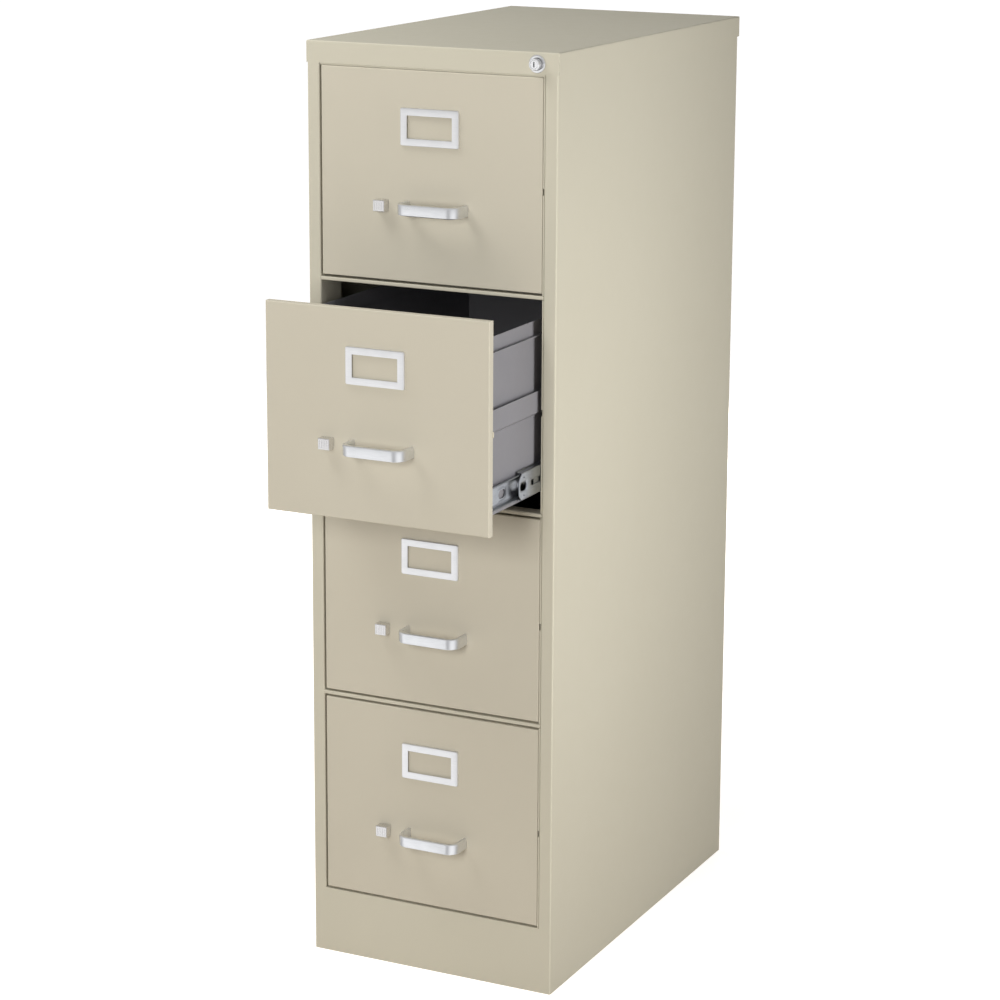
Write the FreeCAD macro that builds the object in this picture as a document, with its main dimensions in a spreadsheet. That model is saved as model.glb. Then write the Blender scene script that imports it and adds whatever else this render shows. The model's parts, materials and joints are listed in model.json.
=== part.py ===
import FreeCAD, Part

# Vertical filing cabinet: a folded steel case, four drawers on three-member ball slides, and a push-in lock
# that lifts a lock bar. Millimetres, +Z up. The front faces -Y. The origin is on the floor, at the centre of
# the case's footprint. Drawer 1 is the top one. Drawer 2 stands partly open.

import math
import os
from types import SimpleNamespace

import Sketcher

DRAWERS = 4
OPEN_DRAWER = 2

# Each driving size: its name in the sheet, its value in millimetres, and what it is.
SIZES = [
    ("width", 381.0, "overall width, over the top cap"),
    ("depth", 635.0, "overall depth, over the top cap"),
    ("height", 1320.8, "overall height"),
    ("case_sheet", 1.0, "sheet of the case panels"),
    ("lap_gap", 0.2, "between the cap's flanges and the panels inside them"),
    ("bend", 1.0, "inner radius of the case's sharp bends"),
    ("rear_bend", 3.0, "inner radius of the rear corners"),
    ("cap_drop", 30.0, "height of the cap's flanges"),
    ("plinth_height", 96.0, "height of the plinth"),
    ("plinth_flange", 20.0, "length of the plinth's side flanges"),
    ("sill_depth", 22.0, "depth of the plinth's top flange"),
    ("rail_height", 5.2, "face of a front rail between two drawers"),
    ("rail_depth", 22.0, "depth of a front rail"),
    ("rail_bend", 0.3, "inner radius of a front rail's bends"),
    ("reveal", 3.1, "gap above and below a drawer front"),
    ("side_reveal", 2.7, "gap beside a drawer front"),
    ("stile_width", 20.0, "front stile, measured from the overall side"),
    ("stile_return", 16.0, "depth of the stile's fold beside the opening"),
    ("rear_flange", 15.0, "side panel's rear flange"),
    ("base_sheet", 1.5, "sheet of the base frame"),
    ("base_rim", 25.0, "width of the base frame's floor rim"),
    ("base_upstand", 20.0, "height of the base frame"),
    ("upright_sheet", 1.2, "sheet of the slide uprights"),
    ("upright_width", 40.0, "width of an upright"),
    ("upright_gap", 0.3, "between the stile return and the front upright"),
    ("rear_upright_setback", 520.0, "rear upright, behind the front plane"),
    ("pan_depth", 11.0, "thickness of a drawer front"),
    ("pan_sheet", 1.0, "sheet of a drawer front"),
    ("pan_bend", 0.6, "inner radius of a drawer front's edges"),
    ("pan_lip", 16.0, "width of the lip round a drawer front's back"),
    ("drawer_sheet", 0.8, "sheet of a drawer body"),
    ("drawer_bend", 1.2, "inner radius of a tray's bottom bends"),
    ("tray_length", 572.0, "length of a drawer body"),
    ("tray_floor", 22.0, "underside of the tray above the front's lower edge"),
    ("band_foot", 133.0, "where the low side flares out"),
    ("band_flare", 5.0, "how far the low side flares out"),
    ("band_top", 167.0, "top of the low side"),
    ("inner_front_top", 262.0, "top of the drawer's inner front"),
    ("drawer_back_top", 232.0, "top of the drawer's back"),
    ("high_side_foot", 100.0, "foot of a high side"),
    ("ledge_height", 240.8, "underside of the high side's ledge"),
    ("ledge_reach", 3.5, "how far the ledge stands out"),
    ("rail_inset", 1.5, "folder rail, inside the high side"),
    ("folder_rail_top", 262.0, "top of the folder rail"),
    ("slide_space", 12.7, "room for a slide beside the drawer"),
    ("slide_length", 558.8, "length of every slide member"),
    ("slide_setback", 12.0, "front of the slides behind the front plane"),
    ("slide_middle_height", 47.0, "slide's centre line above the front's lower edge"),
    ("slide_height", 45.7, "height of the cabinet member"),
    ("slide_sheet", 1.2, "strip of the slide members"),
    ("slide_bend", 0.6, "inner radius of the slide members' bends"),
    ("race_gap", 2.5, "ball race between two members"),
    ("race_lip", 1.2, "rise of the lips that hold the balls"),
    ("web_gap", 1.3, "between the webs of the cabinet and middle members"),
    ("cabinet_flange", 8.1, "cabinet member's flange, up to its lip"),
    ("middle_flange", 6.4, "middle member's flange, up to its lip"),
    ("drawer_flange", 5.4, "drawer member's flange, up to its lip"),
    ("cage_sheet", 0.6, "strip of a ball cage"),
    ("cage_gap", 0.35, "ball cage, clear of the member that it runs in"),
    ("cage_length", 160.0, "length of a ball cage"),
    ("slot_start", 38.0, "middle member's slot, behind its front end"),
    ("slot_length", 180.0, "length of that slot"),
    ("slot_height", 6.0, "height of that slot"),
    ("handle_height", 103.5, "handle and latch above the front's lower edge"),
    ("handle_centre", 10.0, "handle's middle, right of the drawer's middle"),
    ("handle_width", 96.0, "handle, overall"),
    ("handle_reach", 36.0, "handle, out from the drawer front"),
    ("bar_height", 15.5, "height of the handle's bar"),
    ("bar_thickness", 6.0, "thickness of the handle's bar"),
    ("post_width", 7.0, "width of the handle's posts"),
    ("handle_bend", 8.0, "inner radius of the handle's bends"),
    ("bar_bevel", 1.4, "bevel of the handle's long edges"),
    ("latch_offset", 72.3, "thumb latch, left of the drawer's middle"),
    ("latch_width", 17.4, "width of the thumb block"),
    ("latch_tall", 15.7, "height of the thumb block"),
    ("latch_reach", 14.0, "thumb block, out from the drawer front"),
    ("latch_gap", 0.3, "running gap round the latch"),
    ("latch_round", 1.2, "rounding of the thumb block"),
    ("latch_travel", 6.0, "travel of the thumb latch"),
    ("rib_width", 1.0, "groove in the thumb block's face"),
    ("rib_depth", 0.6, "depth of such a groove"),
    ("rib_pitch", 2.8, "from one groove to the next"),
    ("shank_width", 3.0, "latch's shank through the drawer front"),
    ("shank_tall", 7.0, "height of the shank"),
    ("bolt_sheet", 1.5, "latch's bolt inside the drawer front"),
    ("bolt_tall", 12.0, "height of the bolt"),
    ("bolt_tip", 0.2, "bolt's tip, inside the drawer front's edge"),
    ("label_height", 212.0, "label holder's middle above the lower edge"),
    ("label_width", 88.5, "label holder, overall"),
    ("label_tall", 51.4, "label holder, overall height"),
    ("label_window_width", 67.2, "window in the label holder"),
    ("label_window_tall", 31.7, "height of that window"),
    ("label_thickness", 2.4, "label holder, out from the drawer front"),
    ("label_round", 1.4, "rounding of the label holder's outer edge"),
    ("label_bevel", 1.2, "bevel round the label holder's window"),
    ("lock_inset", 31.3, "lock's axis, in from the overall side"),
    ("lock_drop", 15.6, "lock's axis, down from the top"),
    ("lock_body_width", 19.0, "diameter of the lock housing"),
    ("lock_gap", 0.3, "clearance round the housing and the plunger"),
    ("lock_depth", 16.0, "lock housing behind the front plane"),
    ("bezel_width", 24.4, "diameter of the lock's bezel"),
    ("bezel_height", 3.0, "bezel, out from the front plane"),
    ("bezel_taper", 1.2, "taper of the bezel towards its face"),
    ("nut_height", 4.0, "thickness of the lock nut"),
    ("nut_width", 25.6, "lock nut, across its corners"),
    ("plunger_width", 15.8, "diameter of the lock plunger"),
    ("plunger_reach", 12.0, "plunger, out from the front plane"),
    ("plunger_tail", 14.0, "plunger's round shank, behind the front plane"),
    ("plunger_nose", 10.0, "plunger's flat-topped nose, behind its shank"),
    ("plunger_travel", 8.0, "push of the lock plunger"),
    ("plunger_bevel", 0.8, "bevel of the plunger's end"),
    ("plug_width", 11.0, "diameter of the key plug"),
    ("plug_gap", 0.3, "running clearance of the key plug"),
    ("plug_length", 20.0, "length of the key plug"),
    ("plug_sink", 0.3, "key plug's face, behind the plunger's end"),
    ("keyway_width", 1.8, "width of the keyway"),
    ("keyway_tall", 7.0, "height of the keyway"),
    ("keyway_depth", 12.0, "depth of the keyway"),
    ("lock_bar_width", 11.0, "lock bar's strip"),
    ("lock_bar_sheet", 1.8, "thickness of the lock bar"),
    ("lock_bar_setback", 3.6, "lock bar behind the front plane"),
    ("lock_bar_gap", 0.5, "lock bar, clear of the stile return"),
    ("lock_lift", 10.0, "lift of the lock bar"),
    ("arm_clearance", 1.8, "lock bar's arm above the uprights"),
    ("arm_height", 8.0, "height of the lock bar's arm"),
    ("ramp_gap", 0.3, "between the plunger's nose and the ramp that it pushes up"),
    ("ramp_half_width", 5.0, "ramp, to the left of the lock's axis"),
    ("finger_foot", 112.0, "lock finger above a drawer front's lower edge"),
    ("finger_tall", 19.0, "height of a lock finger"),
    ("finger_reach", 2.2, "lock finger, in from the stile return"),
    ("slot_gap", 0.6, "clearance round a lock finger in its slot"),
    ("ear_tall", 8.0, "height of a drawer front's lock ear"),
    ("ear_reach", 1.6, "lock ear, out from the drawer front's side"),
    ("ear_lead", 2.0, "between a lowered finger and the ear above it"),
    ("opening", 156.0, "how far the open drawer stands out"),
]

doc = FreeCAD.newDocument("filing_cabinet")


class Dim:
    """A length that keeps the sheet expression it came from, so that sums of sizes stay tied to the sheet."""

    def __init__(self, value, text):
        self.value = value
        self.text = text

    def __add__(self, other):
        other = dim(other)
        return Dim(self.value + other.value, f"({self.text} + {other.text})")

    def __radd__(self, other):
        return dim(other) + self

    def __sub__(self, other):
        other = dim(other)
        return Dim(self.value - other.value, f"({self.text} - {other.text})")

    def __rsub__(self, other):
        return dim(other) - self

    def __mul__(self, factor):
        return Dim(self.value * factor, f"({self.text} * {factor})")

    def __rmul__(self, factor):
        return self * factor

    def __truediv__(self, divisor):
        return Dim(self.value / divisor, f"({self.text} / {divisor})")

    def __neg__(self):
        return self * -1


def dim(length):
    """Takes a plain number as a length."""
    if isinstance(length, Dim):
        return length
    return Dim(float(length), repr(float(length)))


def make_sheet():
    """Writes the driving sizes into the sheet and returns them as named lengths."""
    sheet = doc.addObject("Spreadsheet::Sheet", "Sizes")
    for row, (name, value, meaning) in enumerate(SIZES, start=1):
        sheet.set(f"A{row}", name)
        sheet.set(f"B{row}", str(value))
        sheet.setAlias(f"B{row}", name)
        sheet.set(f"C{row}", meaning)
    doc.recompute()
    return SimpleNamespace(**{name: Dim(float(sheet.get(name)), f"Sizes.{name}") for name, _, _ in SIZES})


s = make_sheet()

# Places that several pieces share.
front = -s.depth / 2
half_width = s.width / 2
side_outer = half_width - s.case_sheet - s.lap_gap
side_inner = side_outer - s.case_sheet
back_outer = s.depth / 2 - s.case_sheet - s.lap_gap
opening_half = half_width - s.stile_width
under_cap = s.height - s.cap_drop
sheets_and_gaps = s.rail_height * (DRAWERS - 1) + s.reveal * (2 * DRAWERS)
front_height = (under_cap - s.plinth_height - sheets_and_gaps) / DRAWERS
pitch = front_height + s.reveal * 2 + s.rail_height
front_half = opening_half - s.side_reveal
tray_half = opening_half - s.slide_space
lock_x = half_width - s.lock_inset
lock_z = s.height - s.lock_drop
ear_foot = s.finger_foot + s.finger_tall + s.ear_lead


def front_foot(number):
    """Height of a closed drawer front's lower edge."""
    return under_cap - s.reveal - front_height - pitch * (number - 1)


def opened(number):
    """How far a drawer stands open at rest."""
    return s.opening if number == OPEN_DRAWER else dim(0)


# Small tools for sketches and features.

NORMAL_SIGN = {"XY_Plane": 1, "XZ_Plane": -1, "YZ_Plane": 1}


def bind(feature, prop, length):
    """Ties a property to the sheet."""
    feature.setExpression(prop, dim(length).text)


def new_body(name):
    return doc.addObject("PartDesign::Body", name)


def add_sketch(body, name, plane, place=0):
    """A sketch on one of the body's own origin planes, moved to the given place along that plane's axis."""
    sketch = body.newObject("Sketcher::SketchObject", name)
    support = [item for item in body.Origin.OriginFeatures if item.Role == plane][0]
    sketch.AttachmentSupport = [(support, "")]
    sketch.MapMode = "FlatFace"
    bind(sketch, "AttachmentOffset.Base.z", dim(place) * NORMAL_SIGN[plane])
    return sketch


def add_outline(sketch, corners):
    """A closed outline of straight edges, with both places of each corner tied to the sheet."""
    points = [FreeCAD.Vector(dim(x).value, dim(y).value, 0) for x, y in corners]
    first = sketch.GeometryCount
    for start, end in zip(points, points[1:] + points[:1]):
        sketch.addGeometry(Part.LineSegment(start, end), False)
    for index, (x, y) in enumerate(corners):
        edge = first + index
        following = first + (index + 1) % len(corners)
        sketch.addConstraint(Sketcher.Constraint("Coincident", edge, 2, following, 1))
        for kind, place in (("DistanceX", x), ("DistanceY", y)):
            number = sketch.addConstraint(Sketcher.Constraint(kind, -1, 1, edge, 1, dim(place).value))
            bind(sketch, f"Constraints[{number}]", place)


def add_rectangle(sketch, left, right, low, high):
    add_outline(sketch, [(left, low), (right, low), (right, high), (left, high)])


def add_circle(sketch, x, y, width):
    """A circle of the given diameter."""
    centre = FreeCAD.Vector(dim(x).value, dim(y).value, 0)
    ring = sketch.addGeometry(Part.Circle(centre, FreeCAD.Vector(0, 0, 1), dim(width).value / 2), False)
    for kind, place in (("DistanceX", x), ("DistanceY", y)):
        number = sketch.addConstraint(Sketcher.Constraint(kind, -1, 1, ring, 3, dim(place).value))
        bind(sketch, f"Constraints[{number}]", place)
    number = sketch.addConstraint(Sketcher.Constraint("Diameter", ring, dim(width).value))
    bind(sketch, f"Constraints[{number}]", width)


def add_slot(sketch, start, length, middle, height):
    """A slot with round ends along the sketch's first axis. middle is the height of its middle line."""
    radius = height / 2
    left = start + radius
    right = start + length - radius
    low = middle - radius
    high = middle + radius
    quarter = math.pi / 2

    def point(x, y):
        return FreeCAD.Vector(x.value, y.value, 0)

    def add_end(centre_x, from_angle):
        circle = Part.Circle(point(centre_x, middle), FreeCAD.Vector(0, 0, 1), radius.value)
        return sketch.addGeometry(Part.ArcOfCircle(circle, from_angle, from_angle + quarter * 2), False)

    first = add_end(left, quarter)
    second = add_end(right, quarter * 3)
    upper = sketch.addGeometry(Part.LineSegment(point(right, high), point(left, high)), False)
    lower = sketch.addGeometry(Part.LineSegment(point(left, low), point(right, low)), False)
    for edge, following in ((second, upper), (upper, first), (first, lower), (lower, second)):
        sketch.addConstraint(Sketcher.Constraint("Tangent", edge, 2, following, 1))
    sketch.addConstraint(Sketcher.Constraint("Horizontal", upper))
    places = (("DistanceX", first, left), ("DistanceX", second, right), ("DistanceY", first, middle))
    for kind, arc, place in places:
        number = sketch.addConstraint(Sketcher.Constraint(kind, -1, 1, arc, 3, place.value))
        bind(sketch, f"Constraints[{number}]", place)
    number = sketch.addConstraint(Sketcher.Constraint("Radius", first, radius.value))
    bind(sketch, f"Constraints[{number}]", radius)


def plane_of(sketch):
    return sketch.AttachmentSupport[0][0].Role


def add_pad(body, name, sketch, length, forward=True):
    """Adds material along the plane's axis, or against it."""
    feature = body.newObject("PartDesign::Pad", name)
    feature.Profile = sketch
    bind(feature, "Length", length)
    feature.Reversed = forward != (NORMAL_SIGN[plane_of(sketch)] == 1)
    return feature


def add_pocket(body, name, sketch, length, forward=True):
    """Takes material away along the plane's axis, or against it, and makes sure that it cuts."""
    doc.recompute()
    before = body.Shape.Volume
    feature = body.newObject("PartDesign::Pocket", name)
    feature.Profile = sketch
    bind(feature, "Length", length)
    feature.Reversed = forward == (NORMAL_SIGN[plane_of(sketch)] == 1)
    doc.recompute()
    if not feature.Shape.Volume < before:
        raise RuntimeError(f"{body.Name}: {name} cuts nothing")
    return feature


def edges_at(shape, points):
    """Names of the edges that run through the given points."""
    names = []
    for point in points:
        vertex = Part.Vertex(*[dim(place).value for place in point])
        found = [number for number, edge in enumerate(shape.Edges, start=1)
                 if edge.distToShape(vertex)[0] < 0.001]
        if not found:
            raise RuntimeError(f"no edge at {point}")
        names += [f"Edge{number}" for number in found]
    return sorted(set(names))


def round_edges(body, name, radius, points):
    """Rounds the body's edges that run through the given points."""
    doc.recompute()
    last = body.Tip
    feature = body.newObject("PartDesign::Fillet", name)
    feature.Base = (last, edges_at(last.Shape, points))
    bind(feature, "Radius", radius)
    doc.recompute()
    return feature


def bevel_edges(body, name, size, points):
    """Bevels the body's edges that run through the given points."""
    doc.recompute()
    last = body.Tip
    feature = body.newObject("PartDesign::Chamfer", name)
    feature.Base = (last, edges_at(last.Shape, points))
    bind(feature, "Size", size)
    doc.recompute()
    return feature


def mirror_of(piece, name):
    """The left-hand twin of a right-hand piece."""
    twin = doc.addObject("Part::Mirroring", name)
    twin.Source = piece
    twin.Normal = (1, 0, 0)
    return twin


def group_of(pieces, name):
    """Separate solids that share one node."""
    group = doc.addObject("Part::Compound", name)
    group.Links = pieces
    return group


def place_at(piece, x=0, y=0, z=0):
    for axis, place in (("x", x), ("y", y), ("z", z)):
        bind(piece, f"Placement.Base.{axis}", place)


nodes = []


def keep(piece, name):
    """Makes a finished piece one of the cabinet's nodes."""
    piece.Label = name
    nodes.append(piece)


# Case.


def make_side_panel(side, name):
    """A side skin folded into the front stile, the stile return and the rear flange. side: 1 right, -1 left."""
    body = new_body(name)
    sheet = s.case_sheet
    skin_and_rear_flange = [
        (side_outer * side, back_outer),
        ((side_outer - s.rear_flange) * side, back_outer),
        ((side_outer - s.rear_flange) * side, back_outer - sheet),
        (side_inner * side, back_outer - sheet),
    ]
    stile = [
        (side_inner * side, front + sheet),
        ((opening_half + sheet) * side, front + sheet),
        ((opening_half + sheet) * side, front + s.stile_return),
        (opening_half * side, front + s.stile_return),
        (opening_half * side, front),
        (side_outer * side, front),
    ]
    behind_plinth = [
        (side_inner * side, front + s.plinth_flange),
        (side_outer * side, front + s.plinth_flange),
    ]
    inside_cap = [(side_inner * side, front + sheet), (side_outer * side, front + sheet)]
    for part_name, foot, height, corners in (
        ("Stile", s.plinth_height, under_cap - s.plinth_height, skin_and_rear_flange + stile),
        ("Foot", 0, s.plinth_height, skin_and_rear_flange + behind_plinth),
        ("Head", under_cap, s.cap_drop - sheet, skin_and_rear_flange + inside_cap),
    ):
        sketch = add_sketch(body, f"{name}_{part_name}Outline", "XY_Plane", foot)
        add_outline(sketch, corners)
        add_pad(body, f"{name}_{part_name}", sketch, height)
    middle = s.height / 2
    round_edges(body, f"{name}_OuterBends", s.bend + sheet, [
        (side_outer * side, front, middle),
        (opening_half * side, front, middle),
    ])
    round_edges(body, f"{name}_InnerBends", s.bend, [
        (side_inner * side, front + sheet, middle),
        ((opening_half + sheet) * side, front + sheet, middle),
    ])
    round_edges(body, f"{name}_RearOuterBend", s.rear_bend + sheet, [(side_outer * side, back_outer, middle)])
    round_edges(body, f"{name}_RearInnerBend", s.rear_bend, [(side_inner * side, back_outer - sheet, middle)])
    return body


def cut_finger_slots(body):
    """Slots in the right stile return, one for each finger of the lock bar, tall enough for its lift."""
    sketch = add_sketch(body, "FingerSlotOutlines", "YZ_Plane", opening_half - s.case_sheet)
    for number in range(1, DRAWERS + 1):
        foot = front_foot(number) + s.finger_foot
        add_rectangle(
            sketch,
            front + s.lock_bar_setback - s.slot_gap,
            front + s.lock_bar_setback + s.lock_bar_sheet + s.slot_gap,
            foot - s.slot_gap,
            foot + s.finger_tall + s.lock_lift + s.slot_gap,
        )
    add_pocket(body, "FingerSlots", sketch, s.case_sheet * 3)


def make_top_cap():
    """A pan, open below. Its flanges lap over the sides and back, and the front one has the lock's hole."""
    body = new_body("TopCap")
    sketch = add_sketch(body, "CapOutline", "XY_Plane", under_cap)
    add_rectangle(sketch, -half_width, half_width, front, -front)
    add_pad(body, "CapBlock", sketch, s.cap_drop)
    hollow = add_sketch(body, "CapHollowOutline", "XY_Plane", under_cap)
    inner_half = half_width - s.case_sheet
    inner_front = front + s.case_sheet
    add_rectangle(hollow, -inner_half, inner_half, inner_front, -inner_front)
    add_pocket(body, "CapHollow", hollow, s.cap_drop - s.case_sheet)
    round_edges(body, "CapBends", s.bend + s.case_sheet, [
        (half_width, 0, s.height),
        (-half_width, 0, s.height),
        (0, front, s.height),
        (0, -front, s.height),
    ])
    hole = add_sketch(body, "LockHoleOutline", "XZ_Plane", front - s.case_sheet)
    add_circle(hole, lock_x, lock_z, s.lock_body_width + s.lock_gap * 2)
    add_pocket(body, "LockHole", hole, s.case_sheet * 3)
    keep(body, "top_cap")


def make_plinth():
    """The kick plate: a front with folded corners, and a sill folded back along its top."""
    body = new_body("Plinth")
    sheet = s.case_sheet
    sketch = add_sketch(body, "PlinthOutline", "XY_Plane")
    flange_end = front + s.plinth_flange
    add_outline(sketch, [
        (side_outer, front),
        (side_outer, flange_end),
        (side_inner, flange_end),
        (side_inner, front + sheet),
        (-side_inner, front + sheet),
        (-side_inner, flange_end),
        (-side_outer, flange_end),
        (-side_outer, front),
    ])
    add_pad(body, "PlinthPlate", sketch, s.plinth_height)
    sill = add_sketch(body, "SillOutline", "XY_Plane", s.plinth_height - sheet)
    add_rectangle(sill, -side_inner, side_inner, front + sheet, front + s.sill_depth)
    add_pad(body, "Sill", sill, sheet)
    middle = s.plinth_height / 2
    corners = [(side_outer, front, middle), (-side_outer, front, middle)]
    round_edges(body, "PlinthBends", s.bend + sheet, corners)
    keep(body, "plinth")


def make_back_panel():
    """A flat sheet against the inside of the side panels' rear flanges, clear of their bends."""
    half = side_inner - s.rear_bend
    panel = doc.addObject("Part::Box", "BackPanel")
    bind(panel, "Length", half * 2)
    bind(panel, "Width", s.case_sheet)
    bind(panel, "Height", s.height - s.case_sheet)
    place_at(panel, -half, back_outer - s.case_sheet * 2, 0)
    keep(panel, "back_panel")


def make_base_frame():
    """A rim of angle section on the floor, open in the middle. It ends where the rear bends begin."""
    body = new_body("BaseFrame")
    rim_front = front + s.case_sheet
    rim_back = back_outer - s.case_sheet - s.rear_bend
    outline = add_sketch(body, "BaseOutline", "XY_Plane")
    add_rectangle(outline, -side_inner, side_inner, rim_front, rim_back)
    add_pad(body, "BaseBlock", outline, s.base_upstand)
    for part_name, foot, inset in (("Upstand", s.base_sheet, s.base_sheet), ("Opening", 0, s.base_rim)):
        inner = add_sketch(body, f"Base{part_name}Outline", "XY_Plane", foot)
        add_rectangle(inner, inset - side_inner, side_inner - inset, rim_front + inset, rim_back - inset)
        add_pocket(body, f"Base{part_name}", inner, s.base_upstand)
    keep(body, "base_frame")


def make_front_rail(number):
    """A channel between two drawer openings, open to the back."""
    body = new_body(f"FrontRail{number}")
    top = front_foot(number) - s.reveal
    foot = top - s.rail_height
    sheet = s.case_sheet
    rear = front + s.rail_depth
    sketch = add_sketch(body, f"RailOutline{number}", "YZ_Plane", -opening_half)
    add_outline(sketch, [
        (front, foot),
        (rear, foot),
        (rear, foot + sheet),
        (front + sheet, foot + sheet),
        (front + sheet, top - sheet),
        (rear, top - sheet),
        (rear, top),
        (front, top),
    ])
    add_pad(body, f"RailChannel{number}", sketch, opening_half * 2)
    round_edges(body, f"RailBends{number}", s.rail_bend + sheet, [(0, front, foot), (0, front, top)])
    keep(body, f"front_rail_{number}")


def make_upright(where, setback):
    """A channel that carries the slides, welded to the side panel. Returns after keeping right and left."""
    body = new_body(f"{where}Upright")
    sheet = s.upright_sheet
    near = front + setback
    far = near + s.upright_width
    sketch = add_sketch(body, f"{where}UprightOutline", "XY_Plane", s.plinth_height)
    add_outline(sketch, [
        (opening_half, near),
        (side_inner, near),
        (side_inner, near + sheet),
        (opening_half + sheet, near + sheet),
        (opening_half + sheet, far - sheet),
        (side_inner, far - sheet),
        (side_inner, far),
        (opening_half, far),
    ])
    add_pad(body, f"{where}UprightChannel", sketch, under_cap - s.plinth_height)
    keep(body, f"{where.lower()}_upright_right")
    keep(mirror_of(body, f"{where}UprightLeft"), f"{where.lower()}_upright_left")


# Lock.


def make_turned(name, profile):
    """Turns a half section, given as places along the lock's axis and radii, about that axis."""
    body = new_body(name)
    sketch = add_sketch(body, f"{name}Section", "YZ_Plane")
    add_outline(sketch, profile)
    turn = body.newObject("PartDesign::Revolution", f"{name}Turned")
    turn.Profile = sketch
    turn.ReferenceAxis = (sketch, ["H_Axis"])
    turn.Angle = 360
    return body


def place_on_lock_axis(piece):
    place_at(piece, lock_x, front, lock_z)


def make_lock():
    """Housing with bezel, hexagon nut behind the cap's flange, sliding plunger and the key plug inside it."""
    bore = s.plunger_width / 2 + s.lock_gap
    housing = make_turned("LockHousing", [
        (-s.bezel_height, bore),
        (s.lock_depth, bore),
        (s.lock_depth, s.lock_body_width / 2),
        (0, s.lock_body_width / 2),
        (0, s.bezel_width / 2),
        (-s.bezel_height, s.bezel_width / 2 - s.bezel_taper),
    ])
    place_on_lock_axis(housing)
    keep(housing, "lock_housing")

    hexagon = doc.addObject("Part::Prism", "NutHexagon")
    hexagon.Polygon = 6
    bind(hexagon, "Circumradius", s.nut_width / 2)
    bind(hexagon, "Height", s.nut_height)
    nut_bore = doc.addObject("Part::Cylinder", "NutBore")
    bind(nut_bore, "Radius", s.lock_body_width / 2 + s.lock_gap)
    bind(nut_bore, "Height", s.nut_height)
    nut = doc.addObject("Part::Cut", "LockNut")
    nut.Base = hexagon
    nut.Tool = nut_bore
    onto_axis = FreeCAD.Rotation(FreeCAD.Vector(1, 0, 0), -90)
    flats_to_the_sides = FreeCAD.Rotation(FreeCAD.Vector(0, 0, 1), 30)
    nut.Placement.Rotation = onto_axis.multiply(flats_to_the_sides)
    place_at(nut, lock_x, front + s.case_sheet, lock_z)
    keep(nut, "lock_nut")

    plug_seat = s.plug_width / 2 + s.plug_gap
    seat_end = s.plug_sink + s.plug_length - s.plunger_reach + s.lock_gap
    nose_end = s.plunger_tail + s.plunger_nose
    plunger = make_turned("LockPlunger", [
        (-s.plunger_reach, plug_seat),
        (seat_end, plug_seat),
        (seat_end, 0),
        (nose_end, 0),
        (nose_end, s.plunger_width / 2),
        (s.plunger_bevel - s.plunger_reach, s.plunger_width / 2),
        (-s.plunger_reach, s.plunger_width / 2 - s.plunger_bevel),
    ])
    flat = add_sketch(plunger, "NoseFlatOutline", "XZ_Plane", s.plunger_tail)
    add_rectangle(flat, -s.plunger_width, s.plunger_width, 0, s.plunger_width)
    add_pocket(plunger, "NoseFlat", flat, s.plunger_nose * 2)
    place_on_lock_axis(plunger)
    keep(plunger, "lock_plunger")

    face = s.plug_sink - s.plunger_reach
    plug = make_turned("KeyPlug", [
        (face, 0),
        (face + s.plug_length, 0),
        (face + s.plug_length, s.plug_width / 2),
        (face, s.plug_width / 2),
    ])
    keyway = add_sketch(plug, "KeywayOutline", "XZ_Plane", face)
    add_rectangle(keyway, -s.keyway_width / 2, s.keyway_width / 2, -s.keyway_tall / 2, s.keyway_tall / 2)
    add_pocket(plug, "Keyway", keyway, s.keyway_depth)
    place_on_lock_axis(plug)
    keep(plug, "key_plug")


def make_lock_bar():
    """A flat comb inside the right stile. Each finger reaches through a slot and rises in front of a drawer's
    ear. An arm over the upright carries a ramp behind the lock, which the plunger's nose pushes up."""
    body = new_body("LockBar")
    inner = opening_half + s.case_sheet + s.lock_bar_gap
    outer = inner + s.lock_bar_width
    tip = opening_half - s.finger_reach
    foot = front_foot(DRAWERS) + s.finger_foot - s.lock_bar_width
    arm_foot = under_cap + s.arm_clearance
    top = arm_foot + s.arm_height
    corners = [(inner, foot), (outer, foot), (outer, top), (inner, top)]
    for number in range(1, DRAWERS + 1):
        finger_foot = front_foot(number) + s.finger_foot
        finger_top = finger_foot + s.finger_tall
        corners += [(inner, finger_top), (tip, finger_top), (tip, finger_foot), (inner, finger_foot)]
    sketch = add_sketch(body, "LockBarOutline", "XZ_Plane", front + s.lock_bar_setback)
    add_outline(sketch, corners)
    add_pad(body, "LockBarPlate", sketch, s.lock_bar_sheet)

    # The ramp falls as much over the plunger's travel as the bar is to rise.
    ramp_front = front + s.plunger_tail + s.plunger_nose + s.ramp_gap
    ramp_rear = ramp_front + s.plunger_travel + s.lock_bar_sheet
    fall = (s.plunger_travel + s.lock_bar_sheet) * (s.lock_lift.value / s.plunger_travel.value)
    arm = add_sketch(body, "LockArmOutline", "YZ_Plane", inner)
    add_rectangle(arm, front + s.lock_bar_setback, ramp_rear, arm_foot, top)
    add_pad(body, "LockArm", arm, s.lock_bar_sheet)
    ramp = add_sketch(body, "LockRampOutline", "YZ_Plane", lock_x - s.ramp_half_width)
    add_outline(ramp, [
        (ramp_front, lock_z),
        (ramp_rear, lock_z - fall),
        (ramp_rear, lock_z - fall + s.lock_bar_sheet * 1.6),
        (ramp_front, lock_z + s.lock_bar_sheet * 1.6),
    ])
    add_pad(body, "LockRamp", ramp, inner + s.lock_bar_sheet - lock_x + s.ramp_half_width)
    keep(body, "lock_bar")


# Drawer pieces. Each is drawn once, with its origin at the middle of the drawer front's lower edge.


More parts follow.
